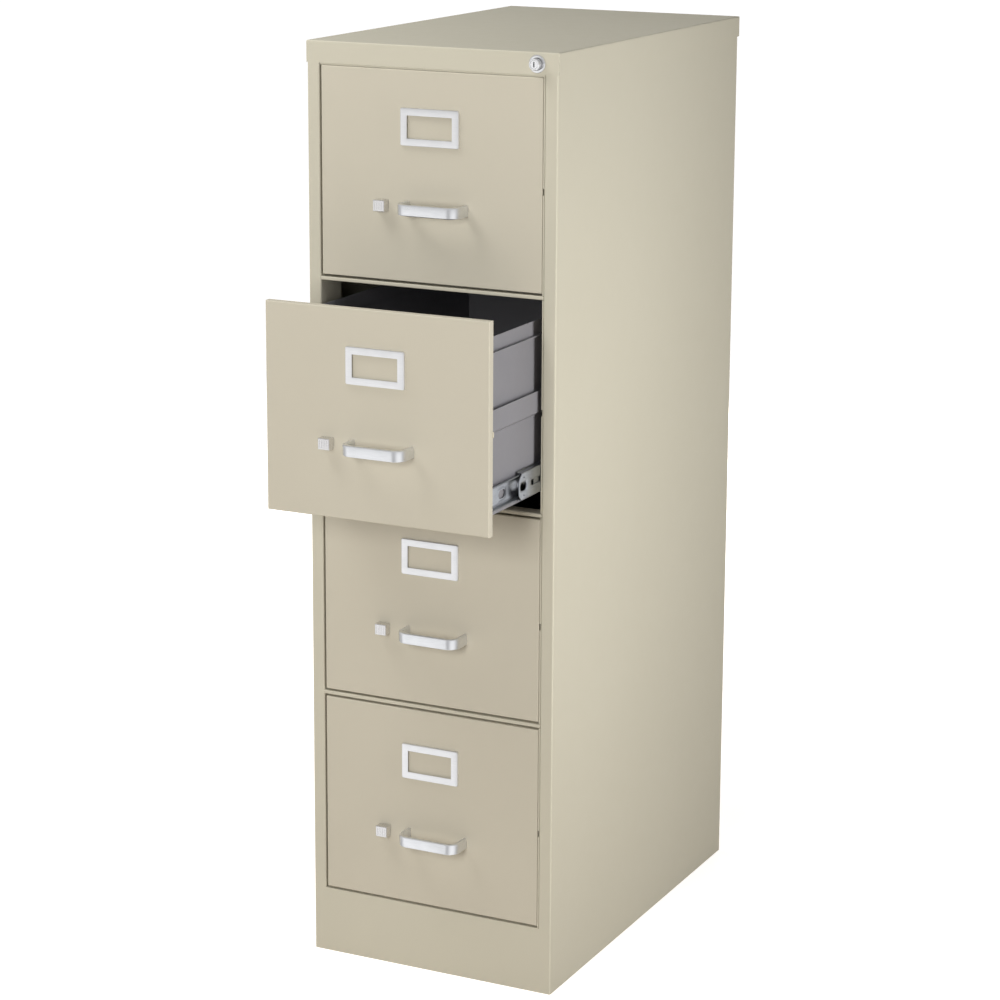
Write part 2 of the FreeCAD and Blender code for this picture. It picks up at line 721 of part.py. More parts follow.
def make_drawer_front():
    """A hollow pan with a lip round its back, a slot for the latch's shank, a bolt window, and the ear of the
    lip that the lock bar's finger holds."""
    body = new_body("DrawerFront")
    outline = add_sketch(body, "PanOutline", "XZ_Plane")
    add_rectangle(outline, -front_half, front_half, 0, front_height)
    add_pad(body, "PanBlock", outline, s.pan_depth)
    cuts = (("Hollow", s.pan_sheet, s.pan_sheet, s.pan_depth - s.pan_sheet * 2),
            ("Mouth", s.pan_lip, s.pan_depth - s.pan_sheet, s.pan_sheet))
    round_edges(body, "PanEdges", s.pan_bend + s.pan_sheet, [
        (front_half, 0, front_height / 2),
        (-front_half, 0, front_height / 2),
        (0, 0, 0),
        (0, 0, front_height),
    ])
    for part_name, inset, place, length in cuts:
        sketch = add_sketch(body, f"Pan{part_name}Outline", "XZ_Plane", place)
        add_rectangle(sketch, inset - front_half, front_half - inset, inset, front_height - inset)
        add_pocket(body, f"Pan{part_name}", sketch, length)
    shank_left = -s.latch_offset - s.shank_width / 2
    slot = add_sketch(body, "ShankSlotOutline", "XZ_Plane", 0)
    add_rectangle(
        slot,
        shank_left - s.latch_gap,
        shank_left + s.shank_width + s.latch_travel + s.latch_gap,
        s.handle_height - s.shank_tall / 2 - s.latch_gap,
        s.handle_height + s.shank_tall / 2 + s.latch_gap,
    )
    add_pocket(body, "ShankSlot", slot, s.pan_sheet)
    bolt_front = s.pan_sheet * 2
    window = add_sketch(body, "BoltWindowOutline", "YZ_Plane", -front_half - s.pan_sheet)
    add_rectangle(
        window,
        bolt_front - s.latch_gap,
        bolt_front + s.bolt_sheet + s.latch_gap,
        s.handle_height - s.bolt_tall / 2 - s.latch_gap,
        s.handle_height + s.bolt_tall / 2 + s.latch_gap,
    )
    add_pocket(body, "BoltWindow", window, s.pan_sheet * 3)
    ear = add_sketch(body, "LockEarOutline", "XZ_Plane", s.pan_depth - s.pan_sheet)
    add_rectangle(ear, front_half - s.pan_sheet, front_half + s.ear_reach, ear_foot, ear_foot + s.ear_tall)
    add_pad(body, "LockEar", ear, s.pan_sheet)
    return body


def make_tray():
    """Bottom, low sides with a flared top band, inner front and back, in one body."""
    body = new_body("Tray")
    sheet = s.drawer_sheet
    inside = tray_half - sheet
    floor = s.tray_floor
    # A 45 degree flare keeps the sheet's thickness when its inner corners sit this share of the sheet lower.
    flare_shift = sheet * 0.4142
    flare_top = s.band_foot + s.band_flare
    right_side = [
        (tray_half, floor),
        (tray_half, s.band_foot),
        (tray_half + s.band_flare, flare_top),
        (tray_half + s.band_flare, s.band_top),
        (inside + s.band_flare, s.band_top),
        (inside + s.band_flare, flare_top + flare_shift),
        (inside, s.band_foot + flare_shift),
        (inside, floor + sheet),
    ]
    left_side = [(-x, z) for x, z in reversed(right_side)]
    section = add_sketch(body, "TraySection", "XZ_Plane", s.pan_depth)
    add_outline(section, right_side + left_side)
    add_pad(body, "TrayShell", section, s.tray_length)
    rear = s.pan_depth + s.tray_length
    for part_name, place, top in (
        ("InnerFront", s.pan_depth, s.inner_front_top),
        ("Back", rear - sheet, s.drawer_back_top),
    ):
        wall = add_sketch(body, f"{part_name}Outline", "XZ_Plane", place)
        add_rectangle(wall, -inside, inside, floor + sheet / 2, top)
        add_pad(body, part_name, wall, sheet)
    middle = rear / 2
    corners = [(tray_half, middle, floor), (-tray_half, middle, floor)]
    round_edges(body, "TrayBends", s.drawer_bend + sheet, corners)
    return body


def make_high_side():
    """The right high side: a plate inside the tray's side, a folded ledge, and the rail for hanging folders."""
    body = new_body("HighSide")
    sheet = s.drawer_sheet
    outer = tray_half - sheet
    rail_outer = outer - s.rail_inset
    ledge_top = s.ledge_height + sheet * 2
    section = add_sketch(body, "HighSideSection", "XZ_Plane", s.pan_depth + sheet)
    add_outline(section, [
        (outer, s.high_side_foot),
        (outer, s.ledge_height),
        (outer + s.ledge_reach, s.ledge_height),
        (outer + s.ledge_reach, ledge_top),
        (rail_outer, ledge_top),
        (rail_outer, s.folder_rail_top),
        (rail_outer - sheet, s.folder_rail_top),
        (rail_outer - sheet, s.ledge_height),
        (outer - sheet, s.ledge_height),
        (outer - sheet, s.high_side_foot),
    ])
    add_pad(body, "HighSidePlate", section, s.tray_length - sheet * 2)
    return body


def make_handle():
    """A flat bar bent into two posts, with bevelled long edges."""
    body = new_body("Handle")
    left = s.handle_centre - s.handle_width / 2
    right = s.handle_centre + s.handle_width / 2
    bar_back = s.bar_thickness - s.handle_reach
    sketch = add_sketch(body, "HandleOutline", "XY_Plane", s.handle_height - s.bar_height / 2)
    add_outline(sketch, [
        (left, 0),
        (left, -s.handle_reach),
        (right, -s.handle_reach),
        (right, 0),
        (right - s.post_width, 0),
        (right - s.post_width, bar_back),
        (left + s.post_width, bar_back),
        (left + s.post_width, 0),
    ])
    add_pad(body, "HandleBar", sketch, s.bar_height)
    middle = s.handle_height
    round_edges(body, "HandleOuterBends", s.handle_bend + s.bar_thickness, [
        (left, -s.handle_reach, middle),
        (right, -s.handle_reach, middle),
    ])
    round_edges(body, "HandleInnerBends", s.handle_bend, [
        (left + s.post_width, bar_back, middle),
        (right - s.post_width, bar_back, middle),
    ])
    low = s.handle_height - s.bar_height / 2
    high = s.handle_height + s.bar_height / 2
    bevel_edges(body, "HandleLongEdges", s.bar_bevel, [
        (s.handle_centre, -s.handle_reach, low),
        (s.handle_centre, -s.handle_reach, high),
    ])
    return body


def make_thumb_latch():
    """A ribbed thumb block, its shank through the drawer front, and the bolt that lies inside the pan."""
    body = new_body("ThumbLatch")
    left = -s.latch_offset - s.latch_width / 2
    right = -s.latch_offset + s.latch_width / 2
    low = s.handle_height - s.latch_tall / 2
    high = s.handle_height + s.latch_tall / 2
    block = add_sketch(body, "ThumbOutline", "XZ_Plane", -s.latch_reach)
    add_rectangle(block, left, right, low, high)
    add_pad(body, "ThumbBlock", block, s.latch_reach - s.latch_gap)
    round_edges(body, "ThumbEdges", s.latch_round, [
        (left, -s.latch_reach, s.handle_height),
        (right, -s.latch_reach, s.handle_height),
        (-s.latch_offset, -s.latch_reach, low),
        (-s.latch_offset, -s.latch_reach, high),
    ])
    bolt_front = s.pan_sheet * 2
    shank = add_sketch(body, "ShankOutline", "XZ_Plane", -s.latch_gap * 2)
    shank_left = -s.latch_offset - s.shank_width / 2
    add_rectangle(
        shank,
        shank_left,
        shank_left + s.shank_width,
        s.handle_height - s.shank_tall / 2,
        s.handle_height + s.shank_tall / 2,
    )
    add_pad(body, "Shank", shank, bolt_front + s.latch_gap * 3)
    bolt = add_sketch(body, "BoltOutline", "XZ_Plane", bolt_front)
    add_rectangle(
        bolt,
        s.bolt_tip - front_half,
        right,
        s.handle_height - s.bolt_tall / 2,
        s.handle_height + s.bolt_tall / 2,
    )
    add_pad(body, "Bolt", bolt, s.bolt_sheet)
    ribs = add_sketch(body, "RibOutlines", "XZ_Plane", -s.latch_reach)
    for step in (-2, -1, 0, 1, 2):
        middle = s.rib_pitch * step - s.latch_offset
        add_rectangle(ribs, middle - s.rib_width / 2, middle + s.rib_width / 2,
                      low + s.latch_round * 2, high - s.latch_round * 2)
    add_pocket(body, "Ribs", ribs, s.rib_depth)
    return body


def make_label_holder():
    """A raised frame with a rounded outer edge and a bevelled window."""
    body = new_body("LabelHolder")
    outline = add_sketch(body, "LabelOutline", "XZ_Plane", -s.label_thickness)
    half = s.label_width / 2
    low = s.label_height - s.label_tall / 2
    high = s.label_height + s.label_tall / 2
    add_rectangle(outline, -half, half, low, high)
    add_pad(body, "LabelPlate", outline, s.label_thickness)
    window = add_sketch(body, "LabelWindowOutline", "XZ_Plane", -s.label_thickness)
    window_half = s.label_window_width / 2
    window_low = s.label_height - s.label_window_tall / 2
    window_high = s.label_height + s.label_window_tall / 2
    add_rectangle(window, -window_half, window_half, window_low, window_high)
    add_pocket(body, "LabelWindow", window, s.label_thickness)
    face = -s.label_thickness
    middle = s.label_height
    round_edges(body, "LabelOuterEdges", s.label_round, [
        (half, face, middle),
        (-half, face, middle),
        (0, face, low),
        (0, face, high),
    ])
    bevel_edges(body, "LabelWindowEdges", s.label_bevel, [
        (window_half, face, middle),
        (-window_half, face, middle),
        (0, face, window_low),
        (0, face, window_high),
    ])
    return body


# Ball slides: the cabinet member, the middle member and the drawer member nest, with a race above and below.


def mirrored_about(height, upper):
    """Adds the lower half of a section that is the same above and below the given height."""
    return upper + [(x, height * 2 - z) for x, z in reversed(upper)]


def make_slide_member(name, upper, bend_corners, length):
    """A channel along the drawer, from the upper half of its section, with its bends rounded where given."""
    body = new_body(name)
    sketch = add_sketch(body, f"{name}Section", "XZ_Plane", s.slide_setback)
    add_outline(sketch, mirrored_about(s.slide_middle_height, upper))
    add_pad(body, f"{name}Channel", sketch, length)
    middle = s.slide_setback + length / 2
    places = []
    for x, z in bend_corners:
        places += [(x, middle, z), (x, middle, s.slide_middle_height * 2 - z)]
    if places:
        round_edges(body, f"{name}Bends", s.slide_bend + s.slide_sheet, places)
    return body


def make_slides():
    """Returns the right-hand members and cages. Their flanges end in lips at 45 degrees that hold the balls."""
    sheet = s.slide_sheet
    lip = s.race_lip
    # A 45 degree lip of the same sheet: its inner edge lies this far across, and its root this far along.
    across = sheet * 0.7071
    root = sheet * 1.4142 - sheet
    middle = s.slide_middle_height

    wall = opening_half
    top = middle + s.slide_height / 2
    under = top - sheet
    end = wall - s.cabinet_flange
    cabinet = make_slide_member("CabinetMember", [
        (wall, top),
        (end, top),
        (end - lip, top - lip),
        (end - lip + across, top - lip - across),
        (end + root, under),
        (wall - sheet, under),
    ], [], s.slide_length)

    race = under - s.race_gap
    web = wall - sheet - s.web_gap
    end = web - s.middle_flange
    under_race = race - sheet
    middle_member = make_slide_member("MiddleMember", [
        (web, race),
        (end, race),
        (end - lip, race + lip),
        (end - lip - across, race + lip - across),
        (end - root, under_race),
        (web - sheet, under_race),
    ], [(web, race)], s.slide_length)
    slot = add_sketch(middle_member, "MiddleMemberSlotOutline", "YZ_Plane", web - sheet * 2)
    add_slot(slot, s.slide_setback + s.slot_start, s.slot_length, middle, s.slot_height)
    add_pocket(middle_member, "MiddleMemberSlot", slot, sheet * 3)

    inner_race = under_race - s.race_gap
    end = tray_half + s.drawer_flange
    drawer = make_slide_member("DrawerMember", [
        (tray_half, inner_race),
        (end, inner_race),
        (end + lip, inner_race + lip),
        (end + lip + across, inner_race + lip - across),
        (end + root, inner_race - sheet),
        (tray_half + sheet, inner_race - sheet),
    ], [(tray_half, inner_race)], s.slide_length)

    cage_sheet = s.cage_sheet
    gap = s.cage_gap
    cages = []
    for name, outer_web, ceiling, reach, place in (
        ("OuterCage", wall - sheet - gap, under - gap, s.cabinet_flange - lip * 2 - sheet - gap, s.slide_setback),
        ("InnerCage", web - sheet - gap, under_race - gap, s.middle_flange - lip * 2, s.slide_setback),
    ):
        body = new_body(name)
        sketch = add_sketch(body, f"{name}Section", "XZ_Plane", place)
        add_outline(sketch, mirrored_about(middle, [
            (outer_web, ceiling),
            (outer_web - reach, ceiling),
            (outer_web - reach, ceiling - cage_sheet),
            (outer_web - cage_sheet, ceiling - cage_sheet),
        ]))
        add_pad(body, f"{name}Strip", sketch, s.cage_length)
        cages.append(body)
    return cabinet, middle_member, drawer, cages[0], cages[1]


def with_twins(pieces):
    """Right-hand pieces together with their left-hand twins."""
    return pieces + [mirror_of(piece, f"{piece.Name}Left") for piece in pieces]


def place_copy(piece, name, number, share):
    """Puts a drawn piece in its drawer's bay, moved out by a share of that drawer's opening."""
    copy = group_of(piece if isinstance(piece, list) else [piece], name.title().replace("_", ""))
    place_at(copy, 0, front - opened(number) * share, front_foot(number))
    keep(copy, name)


def make_case():
    right = make_side_panel(1, "SidePanelRight")
    cut_finger_slots(right)
    keep(right, "side_panel_right")
    keep(make_side_panel(-1, "SidePanelLeft"), "side_panel_left")
    make_top_cap()
    make_plinth()
    make_back_panel()
    make_base_frame()
    for number in range(1, DRAWERS):
        make_front_rail(number)
    make_upright("Front", s.stile_return + s.upright_gap)
    make_upright("Rear", s.rear_upright_setback)


def make_drawers():
    high_side = make_high_side()
    cabinet, middle, drawer, outer_cage, inner_cage = make_slides()
    moving_with_drawer = {
        "front": make_drawer_front(),
        "tray": make_tray(),
        "high_side_right": high_side,
        "high_side_left": mirror_of(high_side, "HighSideLeft"),
        "handle": make_handle(),
        "label_holder": make_label_holder(),
        "thumb_latch": make_thumb_latch(),
        "slide_drawer_members": with_twins([drawer]),
    }
    middle_members = with_twins([middle, inner_cage])
    cabinet_members = with_twins([cabinet, outer_cage])
    for number in range(1, DRAWERS + 1):
        for name, piece in moving_with_drawer.items():
            place_copy(piece, f"drawer_{number}_{name}", number, 1)
        place_copy(middle_members, f"drawer_{number}_slide_middle_members", number, 0.5)
        place_copy(cabinet_members, f"drawer_{number}_slide_cabinet_members", number, 0)


def check_and_write():
    """Stops on any failed object or shape, then writes one STEP file for each node."""
    doc.recompute()
    for item in doc.Objects:
        if "Invalid" in item.State or "Error" in item.State:
            raise RuntimeError(f"{item.Label}: {item.State}")
    os.makedirs("parts", exist_ok=True)
    for piece in nodes:
        shape = piece.Shape
        if shape.isNull() or not shape.isValid() or not shape.Solids:
            raise RuntimeError(f"{piece.Label}: bad shape")
        shape.exportStep(f"parts/{piece.Label}.step")
        print(f"{piece.Label}: {len(shape.Solids)} solid(s), {shape.Volume:.0f} mm3")
    print(f"{len(nodes)} nodes")


make_case()
make_lock()
make_lock_bar()
make_drawers()
check_and_write()
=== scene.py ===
# The looks of a four-drawer filing cabinet. Metres, +Z up, and the drawers open towards -Y.

import json
import math

import bpy
import numpy as np
from mathutils import Matrix, Vector


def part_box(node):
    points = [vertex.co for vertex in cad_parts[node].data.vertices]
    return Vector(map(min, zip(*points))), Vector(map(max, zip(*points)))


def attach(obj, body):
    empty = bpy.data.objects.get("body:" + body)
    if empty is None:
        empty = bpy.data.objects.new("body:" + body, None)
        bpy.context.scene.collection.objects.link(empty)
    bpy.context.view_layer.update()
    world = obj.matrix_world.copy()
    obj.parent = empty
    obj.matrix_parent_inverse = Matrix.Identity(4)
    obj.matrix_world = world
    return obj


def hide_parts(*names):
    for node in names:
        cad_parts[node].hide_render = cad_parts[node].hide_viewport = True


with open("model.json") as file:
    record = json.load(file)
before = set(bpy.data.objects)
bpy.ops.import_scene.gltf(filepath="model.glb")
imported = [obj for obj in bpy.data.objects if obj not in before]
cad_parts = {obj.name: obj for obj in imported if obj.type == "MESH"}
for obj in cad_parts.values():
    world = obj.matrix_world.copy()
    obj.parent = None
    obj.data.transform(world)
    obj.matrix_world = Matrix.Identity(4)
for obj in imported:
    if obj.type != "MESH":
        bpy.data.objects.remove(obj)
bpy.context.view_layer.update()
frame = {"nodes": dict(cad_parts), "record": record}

MM = 0.001
DRAWERS = (1, 2, 3, 4)
SIDES = (-1, 1)


# Places read from the frame.


def low(node):
    return np.array(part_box(node)[0])


def high(node):
    return np.array(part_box(node)[1])


def drawer_origin(number):
    """The middle of a drawer front's lower edge, on its front plane. The case's middle is at x = 0."""
    lowest = low(f"drawer_{number}_front")
    return np.array([0.0, lowest[1], lowest[2]])


# Meshes from numpy grids.


def make_piece(name, points, faces, body, slot, replaced=(), smooth_angle=40):
    """A finished piece with its place in its mesh, in its slot's material, riding on a body."""
    mesh = bpy.data.meshes.new(name)
    mesh.from_pydata(points.tolist(), [], faces)
    mesh.validate()
    mesh.update()
    mesh.materials.append(MATERIALS[slot])
    mesh.shade_smooth()
    mesh.set_sharp_from_angle(angle=math.radians(smooth_angle))
    piece = bpy.data.objects.new(name, mesh)
    bpy.context.scene.collection.objects.link(piece)
    if replaced:
        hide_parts(*replaced)
    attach(piece, body)


def grid_faces(rows, columns, wrap_rows=False, wrap_columns=True, first=0):
    """Quads between neighbouring grid points, numbered row by row."""
    row = np.arange(rows if wrap_rows else rows - 1)
    column = np.arange(columns if wrap_columns else columns - 1)
    row, column = np.meshgrid(row, column, indexing="ij")
    next_row, next_column = (row + 1) % rows, (column + 1) % columns
    corners = [row * columns + column, row * columns + next_column,
               next_row * columns + next_column, next_row * columns + column]
    return (np.stack([corner.ravel() for corner in corners], axis=1) + first).tolist()


def tube_faces(rows, columns, first=0):
    """The wall of a tube of closed loops, and a face over each end."""
    start = [first + index for index in range(columns)]
    end = [first + (rows - 1) * columns + index for index in range(columns)]
    return grid_faces(rows, columns, first=first) + [start[::-1], end]


def turned_over(faces):
    """The same faces, with each one's corners in the opposite order, so that they point the other way."""
    return [face[::-1] for face in faces]


def rounded_rectangle(half_width, half_height, radius, steps=6):
    """Points round a rectangle whose corners are quarter circles: centre of the corner plus radius times
    (cos, sin) of an angle that runs through a quarter turn at each corner."""
    quarter = np.linspace(0, math.pi / 2, steps + 1)
    angles = np.concatenate([quarter + math.pi / 2 * corner for corner in range(4)])
    sign_x = np.repeat([1, -1, -1, 1], steps + 1)
    sign_y = np.repeat([1, 1, -1, -1], steps + 1)
    x = sign_x * (half_width - radius) + radius * np.cos(angles)
    y = sign_y * (half_height - radius) + radius * np.sin(angles)
    return np.stack([x, y], axis=1)


def turned(profile, steps):
    """A closed profile of (distance along Y, radius) turned about the Y axis: x and z are the radius times
    the cosine and sine of the angle."""
    angle = np.linspace(0, 2 * math.pi, steps, endpoint=False)
    along, radius = profile[:, 0:1], profile[:, 1:2]
    x = radius * np.cos(angle)
    z = radius * np.sin(angle)
    y = np.broadcast_to(along, x.shape)
    return np.stack([x, y, z], axis=2).reshape(-1, 3)


def swept(path, across, section):
    """A closed section carried along a path in the XY plane: each point is the path's point, plus the
    section's first coordinate times the direction across the path, plus its second coordinate along Z."""
    flat = path[:, None, :] + across[:, None, :] * section[None, :, 0:1]
    height = np.broadcast_to(section[None, :, 1:2], flat.shape[:2] + (1,))
    return np.concatenate([flat, height], axis=2).reshape(-1, 3)


def rounded_path(corners, radii, steps):
    """Points along a path whose corners are arcs, and the unit direction to the path's right at each point.
    An arc's points are its centre plus its radius times the direction to the right, turned step by step."""
    corners = np.array(corners, float)
    ways = np.diff(corners, axis=0)
    ways = ways / np.linalg.norm(ways, axis=1)[:, None]
    rights = np.stack([ways[:, 1], -ways[:, 0]], axis=1)
    points, directions = [corners[:1]], [rights[:1]]
    for corner, way, right, next_right, radius in zip(corners[1:-1], ways, rights, rights[1:], radii):
        turn = math.atan2(right[0] * next_right[1] - right[1] * next_right[0], right @ next_right)
        angle = np.linspace(0, turn, steps + 1)[:, None]
        spun = np.concatenate([np.cos(angle) * right[0] - np.sin(angle) * right[1],
                               np.sin(angle) * right[0] + np.cos(angle) * right[1]], axis=1)
        inward = math.copysign(radius, turn)
        centre = corner - way * radius * math.tan(abs(turn) / 2) - inward * right
        points.append(centre + inward * spun)
        directions.append(spun)
    return np.concatenate(points + [corners[-1:]]), np.concatenate(directions + [rights[-1:]])


def with_points_between(points, directions, heights):
    """Adds points at the given heights to the longest straight run of a path."""
    longest = int(np.argmax(np.linalg.norm(np.diff(points, axis=0), axis=1)))
    start, end = points[longest], points[longest + 1]
    inside = np.sort(heights[(heights > min(start[1], end[1])) & (heights < max(start[1], end[1]))])
    if end[1] < start[1]:
        inside = inside[::-1]
    added = np.stack([np.full(len(inside), start[0]), inside], axis=1)
    along = np.repeat(directions[longest:longest + 1], len(inside), axis=0)
    points = np.concatenate([points[:longest + 1], added, points[longest + 1:]])
    return points, np.concatenate([directions[:longest + 1], along, directions[longest + 1:]])


def hole_lines(middle, straight, radius, margin, steps=4):
    """Places of grid lines round a hole: even angles across its round end, and three rings outside it."""
    fan = radius * np.tan(np.linspace(-math.pi / 4, math.pi / 4, 2 * steps + 1))
    rings = radius + np.array([0.3, 0.6, 1.0]) * (margin - radius)
    offsets = np.concatenate([fan, rings, -rings])
    return np.concatenate([middle + offsets + straight, middle + offsets - straight])


def shell_faces(kept):
    """Faces of a sheet with two sides from the grid cells that are kept. Where a kept cell has no kept
    neighbour, a wall joins the two sides. Points are numbered row by row, first the outer side and then the
    inner one."""
    rows, columns = kept.shape[0] + 1, kept.shape[1] + 1
    count = rows * columns
    number = np.arange(count).reshape(rows, columns)
    row, column = np.nonzero(kept)
    cells = [number[row + down, column + over] for down, over in ((0, 0), (0, 1), (1, 1), (1, 0))]
    outer = np.stack(cells, axis=1)
    inner = np.stack(cells[::-1], axis=1) + count
    wide = np.pad(kept.astype(int), 1)
    between_rows, between_columns = wide[1:, 1:-1] - wide[:-1, 1:-1], wide[1:-1, :-1] - wide[1:-1, 1:]
    walls = []
    for step, row_step, column_step in ((between_rows, 0, 1), (between_columns, 1, 0)):
        for sign in (1, -1):
            row, column = np.nonzero(step == sign)
            ends = (number[row, column], number[row + row_step, column + column_step])
            start, end = ends if sign == 1 else ends[::-1]
            walls.append(np.stack([end, start, start + count, end + count], axis=1))
    return np.concatenate([outer, inner] + walls)


def drop_unused(points, faces):
    """Leaves out the points that no face uses."""
    used, renumbered = np.unique(faces, return_inverse=True)
    return points[used], renumbered.reshape(faces.shape)


def formed_strip(corners, sheet, bend, length, holes, nose=0.0):
    """A strip bent along the given corners of its outer side and drawn out along Y, with holes in its web.

    Round a hole the grid's squares are drawn towards circles: a point at the distance e from the hole's
    middle line and at the larger offset m is moved by the share m / e, fading to none at the hole's margin.
    The metal round the hole is raised by a rim: its height times the squared cosine of a quarter turn's
    share, which grows with the distance from the hole. The nose sets the flanges' ends back behind the end
    of the web: its depth times the share of the way out across the flange to the power 1.5, which fades
    along the nose's length."""
    web_reach, nose_length, nose_foot, nose_rise = 14.0, 24.0, 8.0, 10.0
    rim_fall, tolerance = 1.4, 0.001
    last_bend = len(corners) - 2
    radii = [bend if index in (1, last_bend) else bend + sheet for index in range(1, last_bend + 1)]
    points, directions = rounded_path(corners, radii, 3)
    heights = [np.linspace(-web_reach, web_reach, 8)]
    rows = [np.linspace(0, nose_length, 9), np.linspace(nose_length, length, 12)]
    for hole in holes:
        radius, margin = hole["height"] / 2, hole["margin"]
        heights.append(hole_lines(hole["z"], 0.0, radius, margin))
        rows.append(hole_lines(hole["y"], hole["length"] / 2 - radius, radius, margin))
    heights = np.unique(np.round(np.concatenate(heights), 3))
    points, directions = with_points_between(points, directions, heights)
    rows = np.concatenate(rows)
    rows = np.unique(np.round(rows[(rows >= 0) & (rows <= length)], 3))
    along, up = np.meshgrid(rows, points[:, 1], indexing="ij")
    side = np.broadcast_to(points[:, 0], along.shape)
    on_web = np.broadcast_to(np.abs(directions[:, 1]) < tolerance, along.shape)
    lift = np.zeros(along.shape)
    kept = np.ones((along.shape[0] - 1, along.shape[1] - 1), bool)
    moved_along, moved_up = along.copy(), up.copy()
    for hole in holes:
        radius, margin = hole["height"] / 2, hole["margin"]
        straight = hole["length"] / 2 - radius
        core = np.clip(along - hole["y"], -straight, straight)
        across, above = along - hole["y"] - core, up - hole["z"]
        largest = np.maximum(np.abs(across), np.abs(above))
        distance = np.maximum(np.hypot(across, above), 1e-9)
        inside = on_web & (largest <= margin + tolerance)
        fade = np.clip((largest - radius) / (margin - radius), 0, 1)
        share = largest / distance * (1 - fade) + fade
        moved_along = np.where(inside, hole["y"] + core + across * share, moved_along)
        moved_up = np.where(inside, hole["z"] + above * share, moved_up)
        lift = np.where(inside, hole["rim"] * np.cos(np.clip(fade * rim_fall, 0, 1) * math.pi / 2) ** 2, lift)
        open_points = on_web & (largest <= radius + tolerance)
        kept &= ~(open_points[1:, 1:] & open_points[:-1, 1:] & open_points[1:, :-1] & open_points[:-1, :-1])
    set_back = nose * np.clip((np.abs(moved_up) - nose_foot) / nose_rise, 0, 1) ** 1.5
    moved_along = moved_along + set_back * np.clip(1 - moved_along / nose_length, 0, 1)
    sides = []
    for depth in (0.0, sheet):
        x = side + directions[None, :, 0] * (lift - depth)
        z = moved_up + directions[None, :, 1] * (lift - depth)
        sides.append(np.stack([x, moved_along, z], axis=2).reshape(-1, 3))
    return drop_unused(np.concatenate(sides), shell_faces(kept))


def facing_out(points, faces):
    """Turns the faces over where they enclose a negative volume: a sixth of the sum, over triangles of each
    face, of the corners' triple product."""
    first, second, third, fourth = (points[faces[:, index]] for index in range(4))
    half_faces = np.cross(second, third) + np.cross(third, fourth)
    volume = np.einsum("ij,ij->", first, half_faces)
    return faces if volume > 0 else faces[:, ::-1]


def with_mirror(points, faces):
    """A piece for the right-hand side together with its mirror image across the drawer's middle."""
    mirrored = points * np.array([-1.0, 1.0, 1.0])
    both_faces = np.concatenate([faces, faces[:, ::-1] + len(points)])
    return np.concatenate([points, mirrored]), both_faces


def joined(shapes):
    """Several sets of points and faces as one."""
    first = np.cumsum([0] + [len(points) for points, _ in shapes[:-1]])
    return (np.concatenate([points for points, _ in shapes]),
            np.concatenate([faces + start for (_, faces), start in zip(shapes, first)]))


def ball_row(centres, radius, around=8, rings=5):
    """Small balls. A point is a ball's centre plus the radius times (cos a cos b, sin b, sin a cos b)."""
    low_angle = np.linspace(-math.pi / 2, math.pi / 2, rings + 2)
    angle = np.linspace(0, 2 * math.pi, around, endpoint=False)
    b, a = np.meshgrid(low_angle[1:-1], angle, indexing="ij")
    belt = np.stack([np.cos(a) * np.cos(b), np.sin(b), np.sin(a) * np.cos(b)], axis=2).reshape(-1, 3)
    poles = np.array([[0.0, -1.0, 0.0], [0.0, 1.0, 0.0]])
    ball = np.concatenate([belt, poles]) * radius
    quads = np.array(turned_over(grid_faces(rings, around)))
    start, end = np.arange(around), np.arange(around) + (rings - 1) * around
    first_pole, last_pole = rings * around, rings * around + 1
    caps = [np.stack([start, np.roll(start, -1), np.full(around, first_pole)], axis=1),
            np.stack([np.roll(end, -1), end, np.full(around, last_pole)], axis=1)]
    points = (centres[:, None, :] + ball[None, :, :]).reshape(-1, 3)
    first = (np.arange(len(centres)) * len(ball))[:, None, None]
    faces = (quads[None] + first).reshape(-1, 4).tolist()
    for cap in caps:
        faces += (cap[None] + first).reshape(-1, 3).tolist()
    return points, faces


# Node groups that several materials share.


def new_group(name, inputs, outputs):
    group = bpy.data.node_groups.new(name, "ShaderNodeTree")
    for label, kind, value in inputs:
        socket = group.interface.new_socket(label, in_out="INPUT", socket_type=kind)
        socket.default_value = value
    for label, kind in outputs:
        group.interface.new_socket(label, in_out="OUTPUT", socket_type=kind)
    return group, group.nodes.new("NodeGroupInput"), group.nodes.new("NodeGroupOutput")


def noise(tree, vector, scale, detail=2.0, roughness=0.5):
    node = tree.nodes.new("ShaderNodeTexNoise")
    node.inputs["Scale"].default_value = scale
    node.inputs["Detail"].default_value = detail
    node.inputs["Roughness"].default_value = roughness
    tree.links.new(vector, node.inputs["Vector"])
    return node.outputs["Fac"]


def between(tree, value, low_value, high_value, from_low=0.3, from_high=0.7):
    """Maps a range onto two values or sockets: the middle of a noise's range, unless one is given."""
    node = tree.nodes.new("ShaderNodeMapRange")
    node.inputs["From Min"].default_value = from_low
    node.inputs["From Max"].default_value = from_high
    for label, given in (("To Min", low_value), ("To Max", high_value)):
        if isinstance(given, bpy.types.NodeSocket):
            tree.links.new(given, node.inputs[label])
        else:
            node.inputs[label].default_value = given
    tree.links.new(value, node.inputs["Value"])
    return node.outputs["Result"]


def calculate(tree, operation, first, second):
    node = tree.nodes.new("ShaderNodeMath")
    node.operation = operation
    for index, given in enumerate((first, second)):
        if isinstance(given, bpy.types.NodeSocket):
            tree.links.new(given, node.inputs[index])
        else:
            node.inputs[index].default_value = given
    return node.outputs[0]


def mix_colours(tree, amount, first, second):
    node = tree.nodes.new("ShaderNodeMix")
    node.data_type = "RGBA"
    for socket, given in ((node.inputs[0], amount), (node.inputs[6], first), (node.inputs[7], second)):
        if isinstance(given, bpy.types.NodeSocket):
            tree.links.new(given, socket)
        else:
            socket.default_value = given
    return node.outputs[2]


